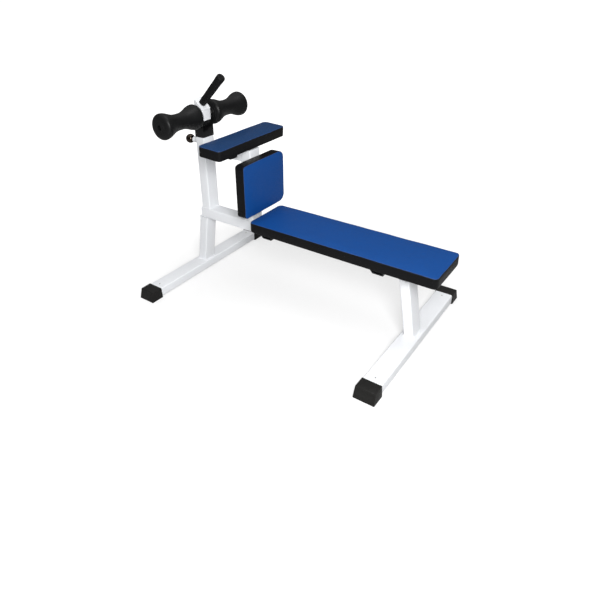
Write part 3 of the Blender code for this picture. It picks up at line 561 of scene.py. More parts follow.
def make_tube(node, axis, lean_section=None):
    """A closed tube skin over a CAD tube, with finer corners. A leaning tube is given its level width."""
    low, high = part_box(node)
    size = high - low
    tubes = bpy.context.scene.roman_tubes
    directions = {"X": (Y_AXIS, Z_AXIS, X_AXIS), "Y": (Z_AXIS, X_AXIS, Y_AXIS), "Z": (X_AXIS, Y_AXIS, Z_AXIS)}
    across, up, along = directions[axis]
    start = centre_of(node) - along * size.dot(along) / 2
    travel = along * size.dot(along)
    width = size.dot(across)
    if lean_section:
        width = abs(lean_section)
        shift = (size.x - width) * (1 if lean_section > 0 else -1)
        start -= across * shift / 2
        travel += across * shift
    bm = bmesh.new()
    faces = round_plate(bm, width, size.dot(up), tubes.corner)
    pull(bm, faces, (0, 0, 1))
    bmesh.ops.transform(bm, matrix=basis(across, up, travel, start), verts=bm.verts)
    return settle(finish_mesh(bm, node + "_skin", finishes()["white"]), "frame", "white", node)


def weld_bead(name, width, depth, corner, matrix):
    """A fillet weld round the foot of a tube. The matrix's Z points up the tube from what it stands on."""
    tubes = bpy.context.scene.roman_tubes
    leg = tubes.weld_leg
    bm = bmesh.new()
    faces = round_plate(bm, width, depth, corner)
    bmesh.ops.delete(bm, geom=faces, context="FACES_ONLY")
    long_edges = [edge for edge in bm.edges if edge.calc_length() > 4 * leg]
    for edge in long_edges:
        bmesh.ops.subdivide_edges(bm, edges=[edge], cuts=int(edge.calc_length() / WELD_STEP))
    ring = bm.edges[:]
    steps = 6
    previous = Vector((0.0, leg))
    bmesh.ops.translate(bm, verts=bm.verts, vec=(0, 0, leg))
    for step in range(1, steps + 1):
        angle = math.pi / 2 * step / steps
        straight = step / steps
        reach = leg * (WELD_BULGE * math.sin(angle) + (1 - WELD_BULGE) * straight)
        rise = leg * (WELD_BULGE * math.cos(angle) + (1 - WELD_BULGE) * (1 - straight))
        made = bmesh.ops.extrude_edge_only(bm, edges=ring)["geom"]
        verts = [item for item in made if isinstance(item, bmesh.types.BMVert)]
        ring = [item for item in made if isinstance(item, bmesh.types.BMEdge)]
        grown = reach - previous.x
        at_width = width / 2 + previous.x
        at_depth = depth / 2 + previous.x
        spread = ((at_width + grown) / at_width, (at_depth + grown) / at_depth, 1)
        bmesh.ops.scale(bm, vec=spread, verts=verts)
        bmesh.ops.translate(bm, verts=verts, vec=(0, 0, rise - previous.y))
        previous = Vector((reach, rise))
    bmesh.ops.holes_fill(bm, edges=[edge for edge in bm.edges if edge.is_boundary])
    for vert in bm.verts:
        place = vert.co.xy
        turn = math.atan2(place.y * width, place.x * depth)
        along = turn * (width + depth) / 2 / WELD_PITCH
        swell = math.sin(along) * tubes.ripple * (1 if 0.1 * leg < vert.co.z < 0.9 * leg else 0)
        outward = Vector((place.x, place.y, 0.4 * place.length)).normalized()
        vert.co += outward * swell
    bmesh.ops.transform(bm, matrix=matrix, verts=bm.verts)
    return settle(finish_mesh(bm, name, finishes()["white"]), "frame", "white")


class ROMAN_OT_tubes(bpy.types.Operator):
    """Builds the painted tubes of the frame over their CAD tubes"""
    bl_idname = "roman.tubes"
    bl_label = "Frame tubes"

    def execute(self, context):
        straight = (("rear_foot_bar", "Y"), ("front_foot_bar", "Y"), ("main_beam", "X"), ("column", "Z"),
                    ("pad_upright", "Z"), ("pad_arm", "X"))
        for node, axis in straight:
            make_tube(node, axis)
        make_tube("lower_rear_post", "Z", REAR_POST_X)
        make_tube("front_post", "Z", -FRONT_POST_X)
        white = finishes()["white"]
        for node in ("beam_rear_plate", "beam_front_plate"):
            softened_node(node, white, "frame", "white", 0.0009, 3)
        return {"FINISHED"}


class ROMAN_OT_welds(bpy.types.Operator):
    """Runs a weld bead round every joint of the frame"""
    bl_idname = "roman.welds"
    bl_label = "Weld beads"

    def execute(self, context):
        corner = context.scene.roman_tubes.corner
        upright = (("lower_rear_post", "rear_foot_bar", REAR_POST_X, 1),
                   ("front_post", "front_foot_bar", FRONT_POST_X, -1))
        for node, bar, width, side in upright:
            low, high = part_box(node)
            bar_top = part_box(bar)[1].z
            foot_x = low.x + width / 2 if side > 0 else high.x - width / 2
            head_x = high.x - width / 2 if side > 0 else low.x + width / 2
            depth = high.y - low.y
            weld_bead(node + "_foot_weld", width, depth, corner,
                      basis(X_AXIS, Y_AXIS, Z_AXIS, (foot_x, 0, bar_top)))
            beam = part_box("main_beam")[0]
            weld_bead(node + "_head_weld", width, min(depth, -2 * beam.y) - 0.001, corner,
                      basis(X_AXIS, -Y_AXIS, -Z_AXIS, (head_x, 0, beam.z)))
        beam_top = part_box("main_beam")[1].z
        for node in ("column", "pad_upright"):
            low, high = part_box(node)
            centre = (low + high) / 2
            weld_bead(node + "_foot_weld", high.x - low.x, high.y - low.y - 0.004, corner,
                      basis(X_AXIS, Y_AXIS, Z_AXIS, (centre.x, 0, beam_top)))
        low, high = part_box("pad_arm")
        centre = (low + high) / 2
        for label, x, along in (("rear", low.x, X_AXIS), ("front", high.x, -X_AXIS)):
            weld_bead(f"pad_arm_{label}_weld", high.y - low.y, high.z - low.z, corner,
                      basis(Y_AXIS, Z_AXIS, along, (x, 0, centre.z)))
        return {"FINISHED"}


# Feet -----------------------------------------------------

def make_foot_cap(node):
    """A flared rubber cap: a foot wider than its top, a panel pressed into its end and a panel set into its
    sole.
    """
    low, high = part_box(node)
    side = 1 if low.y + high.y > 0 else -1
    centre_x = (low.x + high.x) / 2
    foot_half = (high.x - low.x) / 2
    top_half = foot_half - CAP_TOP_IN
    foot_end = max(abs(low.y), abs(high.y))
    top_end = foot_end - CAP_END_IN
    bm = bmesh.new()
    verts = bmesh.ops.create_cube(bm, size=1.0)["verts"]
    for vert in verts:
        at_foot = vert.co.z < 0
        half = foot_half if at_foot else top_half
        end = foot_end if at_foot else top_end
        vert.co = Vector((math.copysign(half, vert.co.x), end if vert.co.y > 0 else CAP_START_Y,
                          low.z if at_foot else high.z))
    bm.normal_update()
    ends = [face for face in bm.faces if face.normal.y > 0.7]
    bmesh.ops.inset_region(bm, faces=ends, thickness=0.0085, depth=0.0)
    bmesh.ops.inset_region(bm, faces=ends, thickness=0.0012, depth=-0.0012)
    sole = [face for face in bm.faces if face.normal.z < -0.7]
    bmesh.ops.inset_region(bm, faces=sole, thickness=0.006, depth=0.0)
    bmesh.ops.inset_region(bm, faces=sole, thickness=0.001, depth=-0.0008)
    bm.normal_update()
    outer = [edge for edge in bm.edges if edge.calc_face_angle() > math.radians(60)]
    soften_edges(bm, outer, 0.0026, 4)
    bm.normal_update()
    mouth = max((face for face in bm.faces if face.normal.y < -0.99), key=lambda face: face.calc_area())
    bmesh.ops.inset_region(bm, faces=[mouth], thickness=0.0034, depth=0.0)
    bmesh.ops.transform(bm, matrix=basis(X_AXIS, Y_AXIS * side, Z_AXIS, (centre_x, 0, 0)), verts=bm.verts)
    cap = finish_mesh(bm, node + "_shell", finishes()["foot"])
    return settle(cap, "frame", "black_rubber", node)


def make_cap_screw(node):
    """A pan-head screw with a cross recess."""
    low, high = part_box(node)
    centre = (low + high) / 2
    radius = (high.x - low.x) / 2
    rise = SCREW_RISE
    base = high.z - rise
    profile = [(0.0, radius), (rise * 0.35, radius)]
    profile += [(rise * (0.35 + 0.65 * math.sin(a)), radius * math.cos(a) * 0.98 + radius * 0.02)
                for a in (math.pi / 2 * step / 6 for step in range(1, 6))]
    profile += [(rise, 0.0)]
    bm = turned([(0.0, 0.0)] + profile, (centre.x, centre.y, base), Z_AXIS, 32)
    screw = finish_mesh(bm, node + "_head", finishes()["zinc"])
    for index, turn in enumerate((45, 135)):
        blade = bmesh.new()
        arm = bmesh.ops.create_cube(blade, size=1.0)["verts"]
        bmesh.ops.scale(blade, vec=(radius * 1.1, radius * 0.24, rise), verts=arm)
        bmesh.ops.rotate(blade, cent=(0, 0, 0), matrix=Matrix.Rotation(math.radians(turn), 3, "Z"), verts=arm)
        bmesh.ops.translate(blade, vec=(centre.x, centre.y, base + rise * 0.95), verts=arm)
        carve(screw, blade, f"{node}_slot_{index}")
    return settle(screw, "frame", "zinc", node)


def carve(piece, bm, name):
    """Cuts a closed bmesh out of the piece, for good."""
    tool = finish_mesh(bm, name)
    cut = piece.modifiers.new("carve", "BOOLEAN")
    cut.operation = "DIFFERENCE"
    cut.solver = "EXACT"
    cut.object = tool
    apply_modifiers(piece)
    bpy.data.objects.remove(tool)


def apply_modifiers(piece):
    """Keeps the piece's evaluated mesh and drops its modifiers."""
    bpy.context.view_layer.update()
    graph = bpy.context.evaluated_depsgraph_get()
    mesh = bpy.data.meshes.new_from_object(piece.evaluated_get(graph), depsgraph=graph)
    piece.modifiers.clear()
    piece.data = mesh
    return piece


class ROMAN_OT_feet(bpy.types.Operator):
    """Builds the rubber foot caps and their screws"""
    bl_idname = "roman.feet"
    bl_label = "Feet"

    def execute(self, context):
        for place in ("rear_left", "rear_right", "front_left", "front_right"):
            make_foot_cap("foot_cap_" + place)
            make_cap_screw("foot_cap_screw_" + place)
        return {"FINISHED"}


# Pads -----------------------------------------------------

def pad_box(node, turn):
    """The CAD cushion's corners in the pad's own directions, where Z points out of its face."""
    back = turn.inverted()
    places = [back @ vert.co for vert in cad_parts[node].data.vertices]
    low = Vector([min(place[i] for place in places) for i in range(3)])
    high = Vector([max(place[i] for place in places) for i in range(3)])
    return low, high


def inflate(piece, floor_z, seam_z, limit):
    """Crowns the cover with a short cloth simulation. Its underside and its seam stay where they are."""
    pads = bpy.context.scene.roman_pads
    before = [vert.co.copy() for vert in piece.data.vertices]
    held = piece.vertex_groups.new(name="held")
    for vert in piece.data.vertices:
        if vert.co.z < floor_z + pads.voxel * 1.2:
            held.add([vert.index], 1.0, "REPLACE")
        elif abs(vert.co.z - seam_z) < pads.voxel * 0.7 and vert.normal.xy.length > 0.35:
            held.add([vert.index], 0.85, "REPLACE")
    sim = piece.modifiers.new("swell", "CLOTH")
    rules = sim.settings
    rules.quality = 5
    rules.mass = 0.35
    rules.tension_stiffness = rules.compression_stiffness = 26.0
    rules.shear_stiffness = 12.0
    rules.bending_stiffness = 2.2
    rules.use_pressure = True
    rules.uniform_pressure_force = pads.pressure
    rules.vertex_group_mass = "held"
    rules.pin_stiffness = 1.0
    rules.effector_weights.gravity = 0.0
    sim.collision_settings.use_collision = False
    sim.collision_settings.use_self_collision = False
    scene = bpy.context.scene
    for number in range(1, 21):
        scene.frame_set(number)
    apply_modifiers(piece)
    scene.frame_set(1)
    piece.vertex_groups.clear()
    for vert, start in zip(piece.data.vertices, before):
        move = vert.co - start
        if move.length > limit:
            move *= limit / move.length
        vert.co = start + move


def tug(piece, low, high, seam_z):
    """Small pulls in the cover: folds fanned from the corners of the sides, and shallow dents on the face."""
    middle = (low + high) / 2
    half = (high - low) / 2
    for vert in piece.data.vertices:
        place = vert.co
        from_corner = Vector((half.x - abs(place.x - middle.x), half.y - abs(place.y - middle.y)))
        near_corner = max(0.0, 1 - from_corner.length / 0.075)
        on_side = 1.0 if place.z < seam_z else 0.0
        around = math.atan2(place.y - middle.y, place.x - middle.x)
        sweep = place.x + place.y * 1.7
        fold = math.sin(sweep * 310 + 3 * noise.noise(place * 30)) * 0.00045 * near_corner * on_side
        dent = noise.noise(Vector((place.x * 11, place.y * 11, place.z * 4))) * 0.0009
        soft = noise.noise(Vector((place.x * 38, place.y * 38, around))) * 0.00022
        vert.co += vert.normal * (fold + dent + soft)


def mark_seam(piece, seam_z):
    """Stores each point's height above the seam for the two-tone cover."""
    layer = piece.data.attributes.new("above_seam", "FLOAT", "POINT")
    layer.data.foreach_set("value", [vert.co.z - seam_z for vert in piece.data.vertices])


def outline_walk(low, high, corners, spacing):
    """Points and outward directions round a rectangle, evenly spaced. corners are its radii at -Y and +Y."""
    middle = (low + high) / 2
    half = (high - low) / 2
    near, far = corners
    radii = (far, far, near, near)
    runs = []
    for quarter, radius in enumerate(radii):
        across = half.y if quarter % 2 == 0 else half.x
        runs.append(("line", quarter, 2 * across - radii[quarter - 1] - radius))
        runs.append(("arc", quarter, radius * math.pi / 2))
    total = sum(run[2] for run in runs)
    count = max(8, round(total / spacing))
    for index in range(count):
        left = total * index / count
        for kind, quarter, length in runs:
            if left <= length:
                break
            left -= length
        turn = math.pi / 2 * quarter
        out = Vector((math.cos(turn), math.sin(turn)))
        side = Vector((-out.y, out.x))
        reach, across = (half.x, half.y) if quarter % 2 == 0 else (half.y, half.x)
        if kind == "line":
            place = out * reach + side * (left + radii[quarter - 1] - across)
            normal = out
        else:
            radius = radii[quarter]
            spin = left / radius
            normal = out * math.cos(spin) + side * math.sin(spin)
            place = out * (reach - radius) + side * (across - radius) + normal * radius
        yield Vector((middle.x + place.x, middle.y + place.y, 0)), Vector((normal.x, normal.y, 0))


def seam_points(piece, low, high, corners, level, spacing):
    """Points on the cover's own surface along a level line, with their outward directions."""
    mesh = piece.data
    tree = BVHTree.FromPolygons([vert.co for vert in mesh.vertices],
                                [face.vertices[:] for face in mesh.polygons])
    points = []
    for place, out in outline_walk(low, high, corners, spacing):
        start = Vector((place.x, place.y, level)) + out * 0.03
        hit = tree.ray_cast(start, -out, 0.08)[0]
        if hit is None:
            hit = Vector((place.x, place.y, level))
        points.append((hit, out))
    return points


def make_welt(name, points, radius, made):
    """A closed cord sewn along the seam, as a mesh."""
    curve = bpy.data.curves.new(name, "CURVE")
    curve.dimensions = "3D"
    curve.bevel_depth = radius
    curve.bevel_resolution = 3
    spline = curve.splines.new("POLY")
    spline.points.add(len(points) - 1)
    for point, (place, out) in zip(spline.points, points):
        point.co = (*(place + out * radius * 0.25), 1)
    spline.use_cyclic_u = True
    holder = bpy.data.objects.new(name + "_line", curve)
    bpy.context.scene.collection.objects.link(holder)
    bpy.context.view_layer.update()
    graph = bpy.context.evaluated_depsgraph_get()
    bm = bmesh.new()
    bm.from_mesh(bpy.data.meshes.new_from_object(holder.evaluated_get(graph), depsgraph=graph))
    bpy.data.objects.remove(holder)
    return finish_mesh(bm, name, made)


def make_stitches(name, points, length, made):
    """A row of short thread ends along the seam, each a small pillow."""
    bm = bmesh.new()
    for index, (place, out) in enumerate(points):
        along = Vector((-out.y, out.x, 0))
        matrix = basis(along * length * 0.62, Z_AXIS * 0.0008, out * 0.0008, place)
        bmesh.ops.create_icosphere(bm, subdivisions=1, radius=0.5, matrix=matrix)
    return finish_mesh(bm, name, made)


def make_backing(name, low, high, corners, under, made, staple_metal, turn):
    """The cloth stapled over a pad's board, and its staples."""
    inset = Vector((CLOTH_INSET, CLOTH_INSET, 0))
    cloth_low = Vector((low.x, low.y, under - CLOTH_HALF)) + inset
    cloth_high = Vector((high.x, high.y, under + CLOTH_HALF)) - inset
    bm = round_block(cloth_low, cloth_high, corners[0], 0.0002, 8, corners[1])
    bmesh.ops.transform(bm, matrix=turn, verts=bm.verts)
    cover = finish_mesh(bm, name + "_backing_cloth", made)
    bm = bmesh.new()
    edge = CLOTH_INSET + 0.004
    walk = outline_walk(Vector((low.x + edge, low.y + edge, 0)), Vector((high.x - edge, high.y - edge, 0)),
                        corners, STAPLE_SPACING)
    for place, out in walk:
        along = Vector((-out.y, out.x, 0))
        spot = Vector((place.x, place.y, under - 0.0008))
        matrix = basis(along * 0.0105, out * 0.0009, Z_AXIS * 0.0006, spot)
        bmesh.ops.create_cube(bm, size=1.0, matrix=matrix)
    bmesh.ops.transform(bm, matrix=turn, verts=bm.verts)
    return cover, finish_mesh(bm, name + "_staples", staple_metal)


def make_pad(name, corners, turn, limit, fineness=1.0):
    """One upholstered pad: the crowned cover, its welt and stitches, and the stapled cloth underneath."""
    pads = bpy.context.scene.roman_pads
    made = finishes()
    low, high = pad_box(name + "_cushion", turn)
    under = low.z
    slack = pads.slack
    foam_low = Vector((low.x + slack, low.y + slack, under - pads.trim))
    foam_high = Vector((high.x - slack, high.y - slack, high.z - slack * 0.4))
    seam_z = foam_high.z - pads.seam_drop
    block = round_block(foam_low, foam_high, corners[0], 0.0030, far_corner=corners[1])
    # The knee pad's cover takes the vinyl copy greyed and darkened as painted shade.
    shell = finish_mesh(block, name + "_pad", made["shaded vinyl" if name == "knee" else "vinyl"])
    remesh = shell.modifiers.new("even", "REMESH")
    remesh.mode = "VOXEL"
    remesh.voxel_size = pads.voxel * fineness
    remesh.use_smooth_shade = True
    apply_modifiers(shell)
    inflate(shell, under, seam_z, limit)
    tug(shell, foam_low, foam_high, seam_z)
    for vert in shell.data.vertices:
        vert.co.z = max(vert.co.z, under)
    smooth = shell.modifiers.new("smooth", "SUBSURF")
    smooth.levels = smooth.render_levels = 1
    apply_modifiers(shell)
    mark_seam(shell, seam_z)
    welt_line = seam_points(shell, foam_low, foam_high, corners, seam_z, 0.004)
    welt = make_welt(name + "_welt", welt_line, pads.piping, made["welt"])
    stitch_line = seam_points(shell, foam_low, foam_high, corners, seam_z - pads.piping - 0.0018, pads.stitch)
    stitches = make_stitches(name + "_stitches", stitch_line, pads.stitch, made["thread"])
    for piece in (shell, welt, stitches):
        piece.data.transform(turn)
    shell.data.shade_smooth()
    backing, staples = make_backing(name, low, high, corners, under, made["backing"], made["zinc"], turn)
    settle(shell, "frame", "blue_vinyl", name + "_cushion")
    settle(welt, "frame", "blue_vinyl")
    settle(stitches, "frame", "blue_vinyl")
    settle(backing, "frame", "plywood", name + "_board")
    settle(staples, "frame", "zinc")
    return shell


class ROMAN_OT_pads(bpy.types.Operator):
    """Upholsters the bench, knee and back pads"""
    bl_idname = "roman.pads"
    bl_label = "Pads"

    def execute(self, context):
        pads = context.scene.roman_pads
        knee_turn = Matrix.Rotation(pads.knee_tilt, 4, "Y")
        back_turn = Matrix.Rotation(math.radians(90), 4, "Y")
        make_pad("bench", (0.024, 0.024), LEVEL, pads.cap)
        make_pad("knee", (0.017, 0.024), knee_turn, pads.cap * 0.8, 0.76)
        make_pad("back", (0.018, 0.038), back_turn, pads.cap * 0.9, 0.76)
        return {"FINISHED"}


# Fittings -------------------------------------------------

class ROMAN_OT_fittings(bpy.types.Operator):
    """Finishes the brackets, plates and bolts under the pads"""
    bl_idname = "roman.fittings"
    bl_label = "Brackets and bolts"

    def execute(self, context):
        made = finishes()
        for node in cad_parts:
            if "bracket" in node or node == "knee_cross_bar":
                softened_node(node, made["black"], "frame", "black_paint", 0.0008, 3)
            elif "_bolt_" in node:
                softened_node(node, made["zinc"], "frame", "zinc", 0.0004, 2)
        return {"FINISHED"}


# Roller head ----------------------------------------------

def roller_outline(start, end, rim):
    """Bore, hub ring, hourglass side, domed ends and the nut's recess, from the inner face outwards."""
    rollers = bpy.context.scene.roman_rollers
    dome, face, waist, recess = rollers.dome, rollers.face, rollers.waist, rollers.recess
    middle = (start + end) / 2
    rim_at = (end - start) / 2 - dome
    groove = ROLLER_GROOVE
    points = [(start, ROLLER_BORE), (start, face - 0.004), (start + groove, face - 0.003),
              (start + groove, face - 0.001)]
    arc = 14
    for step in range(arc + 1):
        angle = math.pi / 2 * step / arc
        points.append((middle - rim_at - dome * math.cos(angle), face + (rim - face) * math.sin(angle)))
    side = 44
    for step in range(1, side):
        t = -1 + 2 * step / side
        swell = 0.5 - 0.5 * math.cos(math.pi * abs(t) ** 1.35)
        points.append((middle + rim_at * t, waist + (rim - waist) * swell))
    for step in range(arc + 1):
        angle = math.pi / 2 * (1 - step / arc)
        points.append((middle + rim_at + dome * math.cos(angle), face + (rim - face) * math.sin(angle)))
    lip = ROLLER_LIP
    points += [(end - groove, face - 0.001), (end - groove, face - 0.003), (end, face - 0.004),
               (end, recess + lip), (end + 0.0005, recess + lip - 0.0006), (end + 0.0005, recess + 0.0007),
               (end, recess), (end - RECESS_DEPTH, recess), (end - RECESS_DEPTH, ROLLER_BORE)]
    return points


def make_roller(node, body):
    low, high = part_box(node)
    centre = centre_of("roller_axle")
    side = 1 if low.y > 0 else -1
    start, end = sorted((abs(low.y), abs(high.y)))
    rim = (high.z - low.z) / 2
    rollers = bpy.context.scene.roman_rollers
    bm = turned(roller_outline(start, end, rim), centre, Y_AXIS * side, rollers.steps)
    return settle(finish_mesh(bm, node + "_sleeve", finishes()["rubber"]), body, "black_rubber", node)


def make_collar():
    """The glossy guide collar, open for the slide tube, with round rims."""
    low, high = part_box("guide_collar")
    column_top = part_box("column")[1].z
    slide_low, slide_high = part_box("slide_tube")
    bm = round_block((low.x, low.y, column_top + CLEARANCE), high, COLLAR_CORNER, COLLAR_RIM)
    collar = finish_mesh(bm, "guide_collar_body", finishes()["plastic"])
    bore = round_block((slide_low.x - CLEARANCE, slide_low.y - CLEARANCE, low.z - 0.01),
                       (slide_high.x + CLEARANCE, slide_high.y + CLEARANCE, high.z + 0.01), 0.005)
    carve(collar, bore, "collar_bore")
    return settle(collar, "frame", "black_plastic", "guide_collar")


def make_grip():
    """The handle's rubber grip: a stepped foot, a slow taper outwards and a slightly flared, rounded end."""
    plate_low, plate_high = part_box("handle_plate")
    slope = Vector((1, 0, 1)).normalized()
    foot = (plate_low + plate_high) / 2 + slope * GRIP_LIFT
    length, bore = GRIP_LENGTH, GRIP_BORE
    profile = [(0.002, bore), (0.002, 0.0186), (0.0028, 0.0196), (0.0065, 0.0196), (0.0074, 0.0194),
               (GRIP_TAPER[0], GRIP_FOOT_R)]
    steps = 24
    for step in range(1, steps):
        t = step / steps
        ripple = 0.00012 * math.sin(t * math.tau * 2)
        profile.append((GRIP_TAPER[0] + (GRIP_TAPER[1] - GRIP_TAPER[0]) * t,
                        GRIP_FOOT_R + (GRIP_NECK_R - GRIP_FOOT_R) * t + ripple))
    flare = 10
    for step in range(flare + 1):
        t = step / flare
        profile.append((GRIP_FLARE[0] + (GRIP_FLARE[1] - GRIP_FLARE[0]) * t,
                        GRIP_NECK_R + GRIP_SWELL * (0.5 - 0.5 * math.cos(math.pi * t))))
    rounding = 12
    for step in range(rounding + 1):
        angle = math.pi / 2 * step / rounding
        profile.append((length - GRIP_ROUND * (1 - math.sin(angle)), 0.0150 + 0.0079 * math.cos(angle)))
    profile += [(length - 0.0008, 0.0130), (length - 0.0008, 0.0)]
    inner_end = length - 0.0195
    bm = turned([(inner_end, 0), (inner_end, bore)] + profile, foot, slope, 64)
    sleeve = finish_mesh(bm, "handle_grip_sleeve", finishes()["grip"])
    return settle(sleeve, "head", "black_rubber", "handle_grip")


def make_knob():
    """A ball knob with a small collar where it meets the pin's housing."""
    low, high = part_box("pull_pin_knob")
    radius = (high.z - low.z) / 2
    centre = (low + high) / 2
    ball_x = low.x + radius
    collar = high.x - ball_x
    profile = [(-radius, 0.0)]
    steps = 40
    last = math.pi - math.asin(KNOB_COLLAR_R / radius) * 1.12
    for step in range(1, steps + 1):
        angle = last * step / steps
        profile.append((-radius * math.cos(angle), radius * math.sin(angle)))
    profile += [(collar - 0.0022, KNOB_COLLAR_R), (collar - 0.0008, KNOB_COLLAR_R),
                (collar, KNOB_COLLAR_R - 0.0008), (collar, KNOB_SOCKET_R), (collar - 0.006, KNOB_SOCKET_R),
                (collar - 0.006, 0.0)]
    bm = turned(profile, (ball_x, centre.y, centre.z), X_AXIS, 64)
    ball = finish_mesh(bm, "pull_pin_ball", finishes()["knob"])
    return settle(ball, "pin", "black_plastic", "pull_pin_knob")


def make_housing():
    """The pin's welded boss, with a rounded mouth and a weld bead at its foot."""
    low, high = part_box("pin_housing")
    centre = (low + high) / 2
    radius = (high.z - low.z) / 2
    length = high.x - low.x
    bead, mouth = HOUSING_BEAD, HOUSING_MOUTH
    profile = [(0.0, 0.0060), (0.0, radius + bead)]
    profile += [(bead * math.sin(a), radius + bead * (1 - math.sin(a) * 0.96)) for a in (0.5, 0.9, 1.25)]
    profile += [(bead * 1.1, radius), (length - mouth, radius)]
    profile += [(length - mouth * (1 - math.sin(a)), radius - 0.0030 * (1 - math.cos(a)))
                for a in (math.pi / 2 * step / 5 for step in range(1, 6))]
    profile += [(length, 0.0048), (length - 0.004, 0.0048), (length - 0.004, 0.0094), (0.005, 0.0094),
                (0.005, 0.006)]
    bm = turned(profile, (high.x, centre.y, centre.z), -X_AXIS, 48)
    return settle(finish_mesh(bm, "pin_boss", finishes()["white"]), "frame", "white", "pin_housing")


class ROMAN_OT_head(bpy.types.Operator):
    """Builds the roller head: collar, slide tube, mitred head, axle, rollers, grip and locking pin"""
    bl_idname = "roman.head"
    bl_label = "Roller head"

    def execute(self, context):
        made = finishes()
        make_collar()
        softened_node("slide_tube", made["black"], "head", "black_paint", 0.0005)
        softened_node("roller_head", made["white"], "head", "white", 0.0007, 3)
        softened_node("handle_plate", made["white"], "head", "white", 0.0008, 3)
        # The axle and nuts take the dark oxide, which also stands as painted shade in the rollers' nut
        # recesses.
        softened_node("roller_axle", made["oxide"], "head", "bright_steel", 0.0004)
        softened_node("handle_bar", made["steel"], "head", "bright_steel", 0.0004)
        for hand in ("left", "right"):
            softened_node("axle_nut_" + hand, made["oxide"], "head", "black_paint", 0.0006, 3)
            softened_node("roller_spacer_" + hand, made["zinc"], "head", "zinc", 0.0006, 3)
        make_roller("roller_left", "left_roller")
        make_roller("roller_right", "right_roller")
        make_grip()
        make_knob()
        make_housing()
        softened_node("pull_pin", made["steel"], "pin", "bright_steel", 0.0003)
        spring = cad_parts["pin_spring"]
        spring.data.materials.clear()
        spring.data.materials.append(made["zinc"])
        return {"FINISHED"}


# Stage ----------------------------------------------------

def add_light(name, place, target, size, power):
    """A square light aimed at a point."""
    data = bpy.data.lights.new(name, "AREA")
    data.shape = "SQUARE"
    data.size = size
    data.energy = power
    light = bpy.data.objects.new(name, data)
    light.location = place
    light.rotation_euler = (Vector(target) - Vector(place)).to_track_quat("-Z", "Y").to_euler()
    bpy.context.scene.collection.objects.link(light)
    return light


def floor_material(tone, glow):
    """Pale seamless paper, lifted towards white where it is looked at directly, more so far away."""
    made, tree, shader = start_material("Pale studio paper", 0.9, specular=0.0)
    fine = use_group(tree, "Fine grain", Scale=300.0)
    tree.links.new(mix_colour(tree, fine["Patches"], rgba([tone * 0.99] * 3), rgba([tone * 1.01] * 3)),
                   shader.inputs["Base Color"])
    shader.inputs["Emission Color"].default_value = (1.0, 1.0, 1.0, 1.0)
    seen = put(tree, "ShaderNodeLightPath").outputs["Is Camera Ray"]
    place = put(tree, "ShaderNodeTexCoord").outputs["Object"]
    distance = put(tree, "ShaderNodeVectorMath", {0: place}, operation="LENGTH").outputs["Value"]
    lift = map_range(tree, distance, 0.7, 1.7, glow, 1.0)
    tree.links.new(maths(tree, "MULTIPLY", seen, lift), shader.inputs["Emission Strength"])
    return made


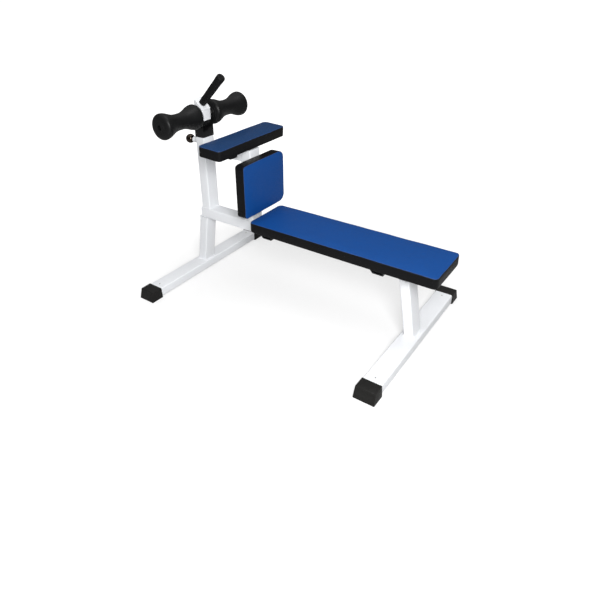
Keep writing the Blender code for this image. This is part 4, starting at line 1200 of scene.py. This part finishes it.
class ROMAN_OT_stage(bpy.types.Operator):
    """Sets up the floor, the studio lights and the camera"""
    bl_idname = "roman.stage"
    bl_label = "Stage"

    def execute(self, context):
        scene = context.scene
        stage = scene.roman_stage
        bm = bmesh.new()
        bmesh.ops.create_grid(bm, x_segments=1, y_segments=1, size=FLOOR_HALF)
        paper = floor_material(stage.floor_tone, stage.floor_glow)
        floor = finish_mesh(bm, "studio_floor", paper, smooth=False, turn_out=False)
        floor.data.transform(Matrix.Translation((0, 0, CAD_BOX[0][2])))
        world = bpy.data.worlds.new("Even studio light")
        world.use_nodes = True
        tree = world.node_tree
        sky = tree.nodes["Background"]
        sky.inputs["Color"].default_value = (1.0, 1.0, 1.0, 1.0)
        seen = put(tree, "ShaderNodeLightPath").outputs["Is Camera Ray"]
        direction = put(tree, "ShaderNodeTexCoord").outputs["Generated"]
        height = put(tree, "ShaderNodeSeparateXYZ", {0: direction}).outputs["Z"]
        dome = maths(tree, "MULTIPLY", map_range(tree, height, 0.30, 0.95, 0.32, 1.60), stage.sky)
        strength = put(tree, "ShaderNodeMapRange", {0: seen, 3: dome, 4: BACKDROP})
        tree.links.new(strength.outputs[0], sky.inputs["Strength"])
        scene.world = world
        add_light("key_light", *KEY_LIGHT, stage.key_power)
        add_light("top_light", *TOP_LIGHT, stage.top_power)
        forward = Vector((-math.sin(stage.yaw) * math.cos(stage.pitch),
                          math.cos(stage.yaw) * math.cos(stage.pitch), math.sin(stage.pitch)))
        level = Vector((math.cos(stage.yaw), math.sin(stage.yaw), 0))
        upright = level.cross(forward)
        across = level * math.cos(stage.roll) + upright * math.sin(stage.roll)
        up = upright * math.cos(stage.roll) - level * math.sin(stage.roll)
        data = bpy.data.cameras.new("studio_camera")
        data.lens = stage.lens
        data.sensor_width = 36.0
        data.sensor_fit = "HORIZONTAL"
        data.shift_x, data.shift_y = stage.shift
        data.clip_start = 0.05
        camera = bpy.data.objects.new("studio_camera", data)
        camera.matrix_world = basis(across, up, -forward, stage.eye)
        scene.collection.objects.link(camera)
        scene.camera = camera
        scene.view_settings.view_transform = "Standard"
        return {"FINISHED"}


class ROMAN_PT_panel(bpy.types.Panel):
    """Lists the machine's pieces in the sidebar"""
    bl_idname = "ROMAN_PT_panel"
    bl_label = "Roman Chair"
    bl_space_type = "VIEW_3D"
    bl_region_type = "UI"
    bl_category = "Roman Chair"

    def draw(self, context):
        layout = self.layout
        for operator in OPERATORS:
            layout.operator(operator.bl_idname)
        for owner in GROUPS:
            box = layout.box()
            settings = getattr(context.scene, GROUPS[owner])
            for name in owner.__annotations__:
                box.prop(settings, name)


GROUPS = {TubeSettings: "roman_tubes", PadSettings: "roman_pads", RollerSettings: "roman_rollers",
          StageSettings: "roman_stage"}
OPERATORS = (ROMAN_OT_tubes, ROMAN_OT_welds, ROMAN_OT_feet, ROMAN_OT_pads, ROMAN_OT_fittings, ROMAN_OT_head,
             ROMAN_OT_stage)


def register():
    for owner, attribute in GROUPS.items():
        bpy.utils.register_class(owner)
        setattr(bpy.types.Scene, attribute, PointerProperty(type=owner))
    for operator in OPERATORS:
        bpy.utils.register_class(operator)
    bpy.utils.register_class(ROMAN_PT_panel)


def unregister():
    bpy.utils.unregister_class(ROMAN_PT_panel)
    for operator in reversed(OPERATORS):
        bpy.utils.unregister_class(operator)
    for owner, attribute in GROUPS.items():
        delattr(bpy.types.Scene, attribute)
        bpy.utils.unregister_class(owner)


def main():
    register()
    bpy.ops.roman.tubes()
    bpy.ops.roman.welds()
    bpy.ops.roman.feet()
    bpy.ops.roman.pads()
    bpy.ops.roman.fittings()
    bpy.ops.roman.head()
    bpy.ops.roman.stage()


if __name__ == "__main__":
    main()
